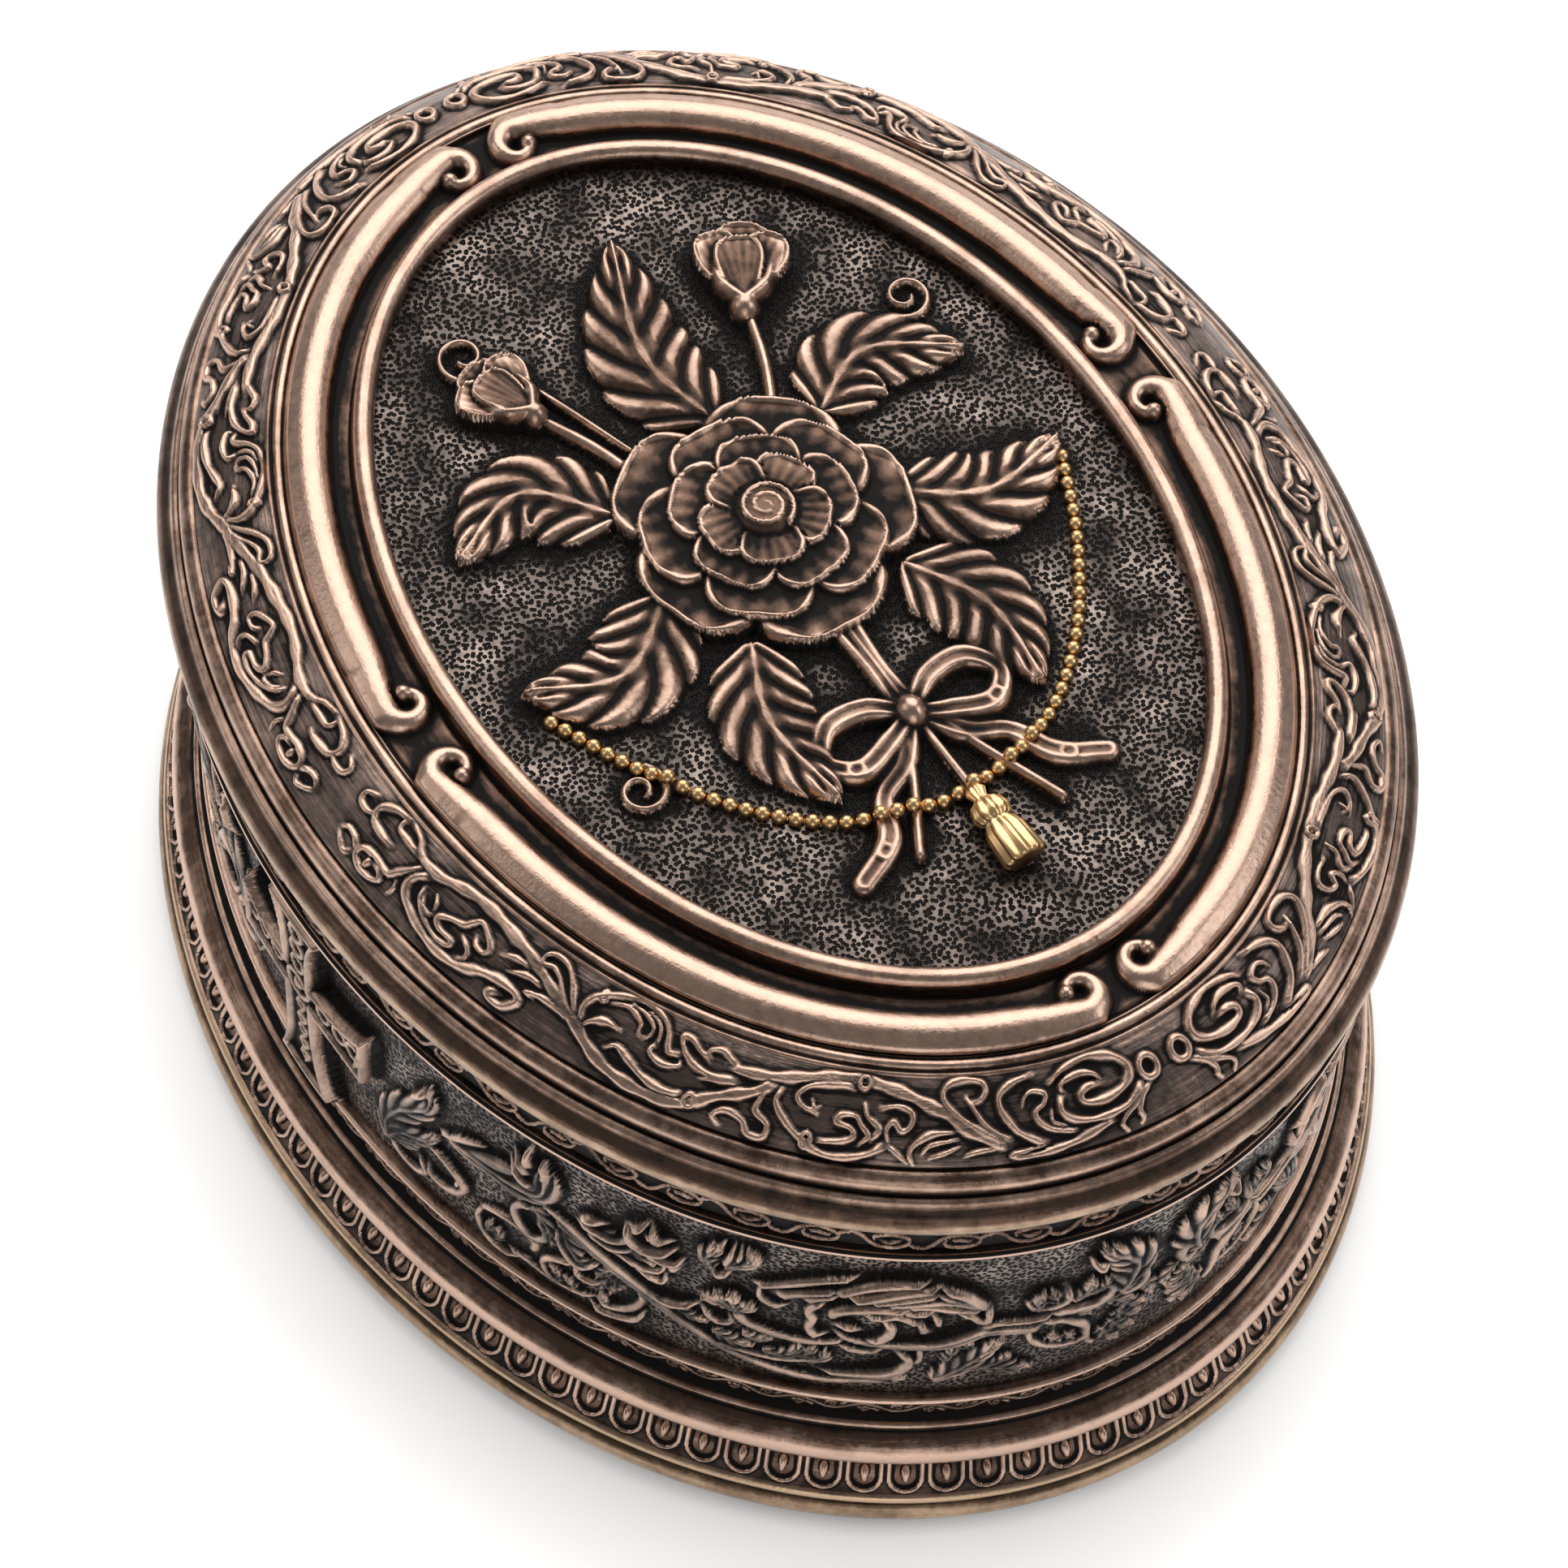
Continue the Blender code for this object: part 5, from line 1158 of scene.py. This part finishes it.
def model_petal(relief, middle, turn, length, width, base, rise):
    """A rose petal laid over what is there already.

    u runs 0 to 1 from the middle to the petal's tip and v across it. The half width is
    1.12 x width x u^0.55 x (1 - u^4)^0.5, a little waved. It cups, with fine veins, and its
    outer edge turns up in a thin lip.
    """
    away = relief.place - middle
    facing = np.array([math.cos(math.radians(turn)), math.sin(math.radians(turn))])
    u = away @ facing / length
    v = (away[..., 1] * facing[0] - away[..., 0] * facing[1]) / width
    s = np.clip(u, 1e-3, 1)
    wave = 1 + 0.05 * np.cos(7 * v + turn)
    half = s ** 0.55 * np.sqrt(np.clip(1 - s ** 4, 1e-6, 1)) * 1.12 * wave
    q = np.abs(v) / half
    edge = np.minimum(1 - q, 2.2 * (1 - s ** 2))
    lip = 0.34 * np.exp(-((edge - 0.10) / 0.12) ** 2)
    veins = 0.035 * np.cos(26 * v / (0.4 + s)) * s
    cup = rise * (0.55 * s + 0.45 * np.sqrt(np.clip(1 - q ** 2, 0, 1)) * (1 - s ** 2))
    height = base + cup + lip - 0.28 * np.clip(1 - edge / 0.05, 0, 1) + veins
    inside = (u > 0) & (u < 1) & (q < 1)
    relief.height = np.where(inside, height, relief.height)


def model_rose(relief):
    """The open rose: three rings of broad petals, a ring of small ones and a furled heart."""
    for start, length, width, base, rise in ((0, 10.2, 5.9, 0.35, 1.15), (36, 8.4, 4.9, 0.75, 1.2),
                                             (10, 6.4, 3.9, 1.20, 1.15), (50, 4.5, 2.9, 1.65, 1.1)):
        for turn in (72, 216, 0, 144, 288):
            model_petal(relief, ROSE, start + turn, length * (1 + 0.04 * math.sin(turn)), width,
                        base, rise)
    heart = Relief(relief.place[..., 0], relief.place[..., 1])
    heart.knob(*ROSE, 2.3, 1.0, 1.9)
    heart.curl(*ROSE, 2.0, 20, 2.3, .34, 3.0, shrink=0.12)
    near = np.hypot(*(relief.place - ROSE).transpose(2, 0, 1)) < 2.35
    relief.height = np.where(near & (heart.height > 0), heart.height, relief.height)


def model_bud(relief, x, y, turn, size):
    """A bud half open: petals furled round each other, held by two curled sepals."""
    for lean, length, width, base, rise in ((0, 6.6, 2.9, 0.3, 1.2), (24, 6.0, 2.2, 0.7, 1.1),
                                            (-24, 5.8, 2.2, 0.8, 1.1), (4, 4.9, 2.3, 1.1, 1.1)):
        model_petal(relief, (x, y), turn + lean, length * size, width * size, base, rise)
    ahead = np.array([math.cos(math.radians(turn)), math.sin(math.radians(turn))]) * size
    out = np.array([-ahead[1], ahead[0]])
    foot = np.array([x, y])
    for side in (-1, 1):
        relief.cord([foot - 0.3 * ahead, foot + 1.1 * ahead + 1.5 * side * out,
                     foot + 3.0 * ahead + 2.1 * side * out, foot + 4.4 * ahead + 3.1 * side * out],
                    (.7 * size, .75 * size, .5 * size, .12), (1.9, 2.0, 1.5, .6))
    relief.knob(*(foot - 0.5 * ahead), 1.25 * size, 1.9)


def model_panel(relief):
    """The spray of roses; places are (mm along the long axis, mm along the short one)."""
    # The stems below the rose, cut off at different lengths, and a tendril on each side.
    for points in ([(4, -1.0), (12, -.5), (17, -1.4), (24.4, -5.4)],
                   [(4, 1.0), (12, .5), (17, 1.6), (25.6, 5.0)], [(4, 0), (14, .1), (28.2, .4)]):
        relief.cord(points, (.55, .50, .46, .52), (1.1, 1.0, .95, 1.0))
    relief.curl(-24.6, -10.2, 2.2, 40, -1.3, (.40, .24), .8)
    relief.cord([(-12.0, -4.5), (-17.8, -6.6), (-22.9, -8.7)], (.30, .40), .8)
    relief.curl(-13.2, 18.4, 1.9, -50, 1.3, (.38, .24), .8)
    relief.curl(10.8, -18.2, 1.9, 140, -1.3, (.38, .24), .8)
    # The leaves, from the top round to the right and back up on the left.
    for points, width in (
            ([(-11, 1.5), (-18.2, .2), (-27.4, 3.4)], 3.9),
            ([(-8, 8.0), (-10.6, 13.2), (-7.2, 19.4)], 3.7),
            ([(0, 8.6), (3.4, 14.2), (2.2, 20.8)], 3.8),
            ([(5, 6.0), (10.8, 9.0), (17.8, 8.8)], 3.7),
            ([(5, -6.0), (11.2, -8.4), (18.4, -7.6)], 3.6),
            ([(-1, -8.8), (3.0, -14.6), (.6, -21.0)], 3.9),
            ([(-8, -8.2), (-12.8, -13.0), (-10.4, -19.2)], 3.7)):
        relief.leaf(points, width, 1.55, lobes=6, base=0.1, sweep=1.5, cut=0.13)
    # Two buds on short stems at the upper side.
    for x, y, turn, size, root in ((-18.4, 8.6, 150, 1.0, (-9, 5)),
                                   (-18.2, -8.8, -158, .86, (-9, -5))):
        relief.cord([root, ((x + root[0]) / 2, (y + root[1]) / 2 + .4), (x, y)], (.55, .50), 1.0)
        model_bud(relief, x, y, turn, size)
    # The ribbon: two loops and two waved tails round the stems, and the knot on top.
    for side in (-1, 1):
        relief.cord([(15.2, 0), (13.4, 2.6 * side), (13.3, 5.4 * side), (15.4, 6.9 * side),
                     (17.2, 5.2 * side), (16.4, 2.4 * side), (15.2, 0)],
                    (.7, 1.05, 1.1, .8, 1.1, 1.05, .7), (1.4, 1.7, 1.5, 1.2, 1.5, 1.6, 1.4), .34)
        relief.cord([(15.2, 0), (18.2, 2.4 * side), (19.6, 5.0 * side), (22.6, 6.6 * side),
                     (24.2, 9.6 * side)], (.6, 1.0, .85, 1.05, .9), (1.3, 1.3, .9, 1.2, .8), .34)
    relief.knob(15.2, 0, 1.5, 2.1, stretch=.85)
    model_rose(relief)


rim_angle = np.linspace(0, np.pi, 4001)
rim = round_oval(rim_angle, np.array([[PANEL_OFFSET * MM, 0.0]]))[:, 0] / MM
step = np.linspace(-1, 1, PANEL_ROWS)
panel_x = PANEL_REACH * rim[0, 0] * (0.55 * step + 0.45 * np.sin(step * np.pi / 2))
panel_y = np.interp(panel_x, rim[::-1, 0], rim[::-1, 1])[:, None]
panel_y = panel_y * np.linspace(-1, 1, 2 * PANEL_COLUMNS + 1)
panel_relief = Relief(panel_x[:, None], panel_y)
model_panel(panel_relief)
panel_top = np.dstack([panel_relief.place, PANEL_FIELD + panel_relief.height]) * MM
panel_bronze = cast_bronze("panel_bronze", BRONZE, wear_and_shade=-0.13)
panel_pebbles = panel_relief.ground()
panel_crest = panel_relief.crest(5, 0.40) - GROUND_SHADE * panel_pebbles
for side, half in (("back", slice(PANEL_COLUMNS, None)), ("front", slice(PANEL_COLUMNS + 1))):
    top = panel_top[:, half]
    under = top[:, [-1, 0]] * (1, 1, 0) + (0, 0, PANEL_BACK * MM)
    dress(closed_strips(f"panel_{side}", top, under, crest=panel_crest[:, half],
                        pebbles=panel_pebbles[:, half], along=top[..., 0], across=top[..., 1]),
          "lid", panel_bronze, "cast_bronze_resin", "lid_shell")


# The garland: small gilt beads that hang in one swag below the rose, with a tassel at its
# lowest point. They are cast with the lid and picked out with gilt paint.
BEAD_RADIUS, BEAD_PITCH, TASSEL_FLUTES = 0.54, 1.08, 10
GILT = (0.86, 0.57, 0.28, 1)
TASSEL_AT = (22.2, 0, PANEL_FIELD + 1.35)
TASSEL = [(0.02, 0), (0.50, 0.10), (0.72, 0.55), (0.50, 1.05), (0.62, 1.25), (1.15, 1.60),
          (1.35, 2.40), (1.15, 2.90), (0.85, 3.05), (1.10, 3.30), (1.35, 4.00), (1.50, 6.20),
          (1.30, 6.45), (0.02, 6.40)]


def turned_bead(outline, around, flutes=0):
    """Points and faces of a small solid turned about z from (radius, height) rings.

    Its radius may wave: radius x (1 + 0.08 x cos(flutes x angle)).
    """
    angle = round_angles(around)
    outline = np.asarray(outline, float)
    wave = 1 + 0.08 * np.cos(flutes * angle) * (flutes > 0)
    ring = outline[:, None, :1] * np.stack([wave * np.cos(angle), wave * np.sin(angle)], -1)
    height = np.broadcast_to(outline[:, None, 1:], ring.shape[:2] + (1,))
    points = np.concatenate([ring, height], -1).reshape(-1, 3)
    index = np.arange(len(points)).reshape(len(outline), around)
    after = np.roll(index, -1, axis=1)
    faces = np.stack([index[:-1], after[:-1], after[1:], index[1:]], -1).reshape(-1, 4)
    return points, faces


def clay_height(spots):
    """The panel's relief under each spot, in mm, from the nearest place of its grid."""
    row = np.searchsorted(panel_x, spots[:, 0]).clip(0, PANEL_ROWS - 1)
    column = np.round((spots[:, 1] / panel_y[row, -1] + 1) * PANEL_COLUMNS).astype(int)
    return panel_relief.height[row, column.clip(0, 2 * PANEL_COLUMNS)]


polar = np.radians(np.linspace(2, 178, 9))
bead_points, bead_faces = turned_bead(np.column_stack([np.sin(polar), -np.cos(polar)])
                                      * BEAD_RADIUS, 12)
swag = smooth_path([(3.2, -20.4), (9.6, -17.2), (15.8, -12.8), (20.2, -7.2), (21.9, 0),
                    (20.2, 7.2), (15.8, 12.8), (9.6, 17.2), (3.4, 20.2)], BEAD_PITCH)
lift = np.convolve(np.pad(clay_height(swag), 1, "edge"), (0.25, 0.5, 0.25), "valid")
spots = np.column_stack([swag, PANEL_FIELD + 0.30 + np.maximum(lift, clay_height(swag))])
tassel_points, tassel_faces = turned_bead(TASSEL, 60, TASSEL_FLUTES)
tassel_points = tassel_points[:, [2, 1, 0]] * (1, 1, 0.7) + TASSEL_AT
points = [(spots[:, None] + bead_points).reshape(-1, 3), tassel_points]
count = np.arange(len(spots))[:, None, None] * len(bead_points)
faces = [(bead_faces + count).reshape(-1, 4), tassel_faces + len(spots) * len(bead_points)]
gilding, _, gilt_shader = new_material("gilding")
gilt_shader.inputs["Base Color"].default_value = GILT
gilt_shader.inputs["Metallic"].default_value = 1.0
gilt_shader.inputs["Roughness"].default_value = 0.30
garland = new_piece("gilt_garland", np.vstack(points) * MM, np.vstack(faces))
garland.data.materials.append(gilding)
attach(garland, "lid")


# The felts: dark wool felt under the foot, and glued inside the base and the lid. Each is cut
# from the sheet with a knife, so its edges are square but soft.
FELT_LOW, FELT_DARK, FELT_PALE = 1.1 / 3, (0.012, 0.010, 0.011, 1), (0.075, 0.062, 0.060, 1)
FELT_ROUND, WALL_FELT_ROUND, FELT_ROLL = 240, 360, 0.15


def felt_cloth():
    """Wool felt: a mat of fine fibres, a little paler where they stand up in the light."""
    material, tree, shader = new_material("wool_felt")
    place = wire(tree, "TexCoord", "Object", {})
    fibres = None
    for scale, stretch in ((1600, (1, 1, 1)), (700, (3, 1, 1)), (700, (1, 3, 1))):
        turned = wire(tree, "Mapping", "Vector", {"Vector": place, "Scale": stretch})
        more = wire(tree, "TexNoise", "Fac", {"Scale": scale, "Detail": 4, "Vector": turned})
        fibres = wire(tree, "Math", "Value", {0: fibres, 1: more}) if fibres else more
    half = wire(tree, "Math", "Value", {0: fibres, 1: 0.5}, operation="MULTIPLY")
    tone = wire(tree, "ValToRGB", "Color", {"Fac": half})
    low, high = tone.node.color_ramp.elements
    low.position, low.color = FELT_LOW, FELT_DARK
    high.color = FELT_PALE
    normal = wire(tree, "Bump", "Normal", {"Distance": 0.0002, "Strength": 0.7, "Height": fibres})
    tree.links.new(tone, shader.inputs["Base Color"])
    tree.links.new(normal, shader.inputs["Normal"])
    shader.inputs["Roughness"].default_value = 0.95
    shader.inputs["Sheen Weight"].default_value = 0.35
    return material


wool_felt = felt_cloth()


def felt_oval(name, body, node, offset, low, high):
    """An oval sheet: rings of the oval shrunk towards its middle, over the top and under.

    Its edge is rolled over by FELT_ROLL mm, and its top is a hundredth of a mm or two uneven.
    """
    share = np.concatenate([[0.004], np.linspace(0.1, 0.99, 14)])
    ring = np.concatenate([share, [1.0, 1.0], share[::-1]])
    height = np.concatenate([np.full(len(share), high), [high - FELT_ROLL, low + FELT_ROLL],
                             np.full(len(share), low)]) * MM
    rim = round_oval(round_angles(FELT_ROUND), np.array([[offset * MM, 0.0]]))
    points = rim * (1, 1, 0) * ring[None, :, None]
    ripple = 0.02 * MM * np.sin(points[..., 0] / (2.3 * MM)) * np.sin(points[..., 1] / (3.1 * MM))
    points[..., 2] = height - np.abs(ripple) * (height > (low + high) / 2 * MM)
    piece = carried_round(name, points)
    dress(piece, body, wool_felt, "dark_felt", node)


felt_oval("foot_pad", "base", "foot_felt", 0.65, 0.0, 0.8)
felt_oval("floor_felt", "base", "floor_lining", -8.4, 4.8, 5.6)
felt_oval("lid_felt", "lid", "lid_lining", -11.6, 44.9, 45.7)

WALL_FELT = [(-5.8, 6.0), (-5.8, 34.1), (-6.6, 34.1), (-6.6, 6.0)]
wall_line = np.vstack([moulding(side, step=1.5) for side in (WALL_FELT[:2], WALL_FELT[2:])])
wall_points = round_oval(round_angles(WALL_FELT_ROUND), wall_line)
index = np.arange(wall_points[..., 0].size).reshape(wall_points.shape[:2])
after = np.roll(index, -1, axis=0)
faces = np.stack([index, after, np.roll(after, -1, 1), np.roll(index, -1, 1)], -1)
wall_felt = new_piece("wall_felt", wall_points.reshape(-1, 3), faces.reshape(-1, 4))
dress(wall_felt, "base", wool_felt, "dark_felt", "wall_lining")
wall_run = oval_travel(-6.2 * MM, np.linspace(0, FULL_TURN, 721))[-1]
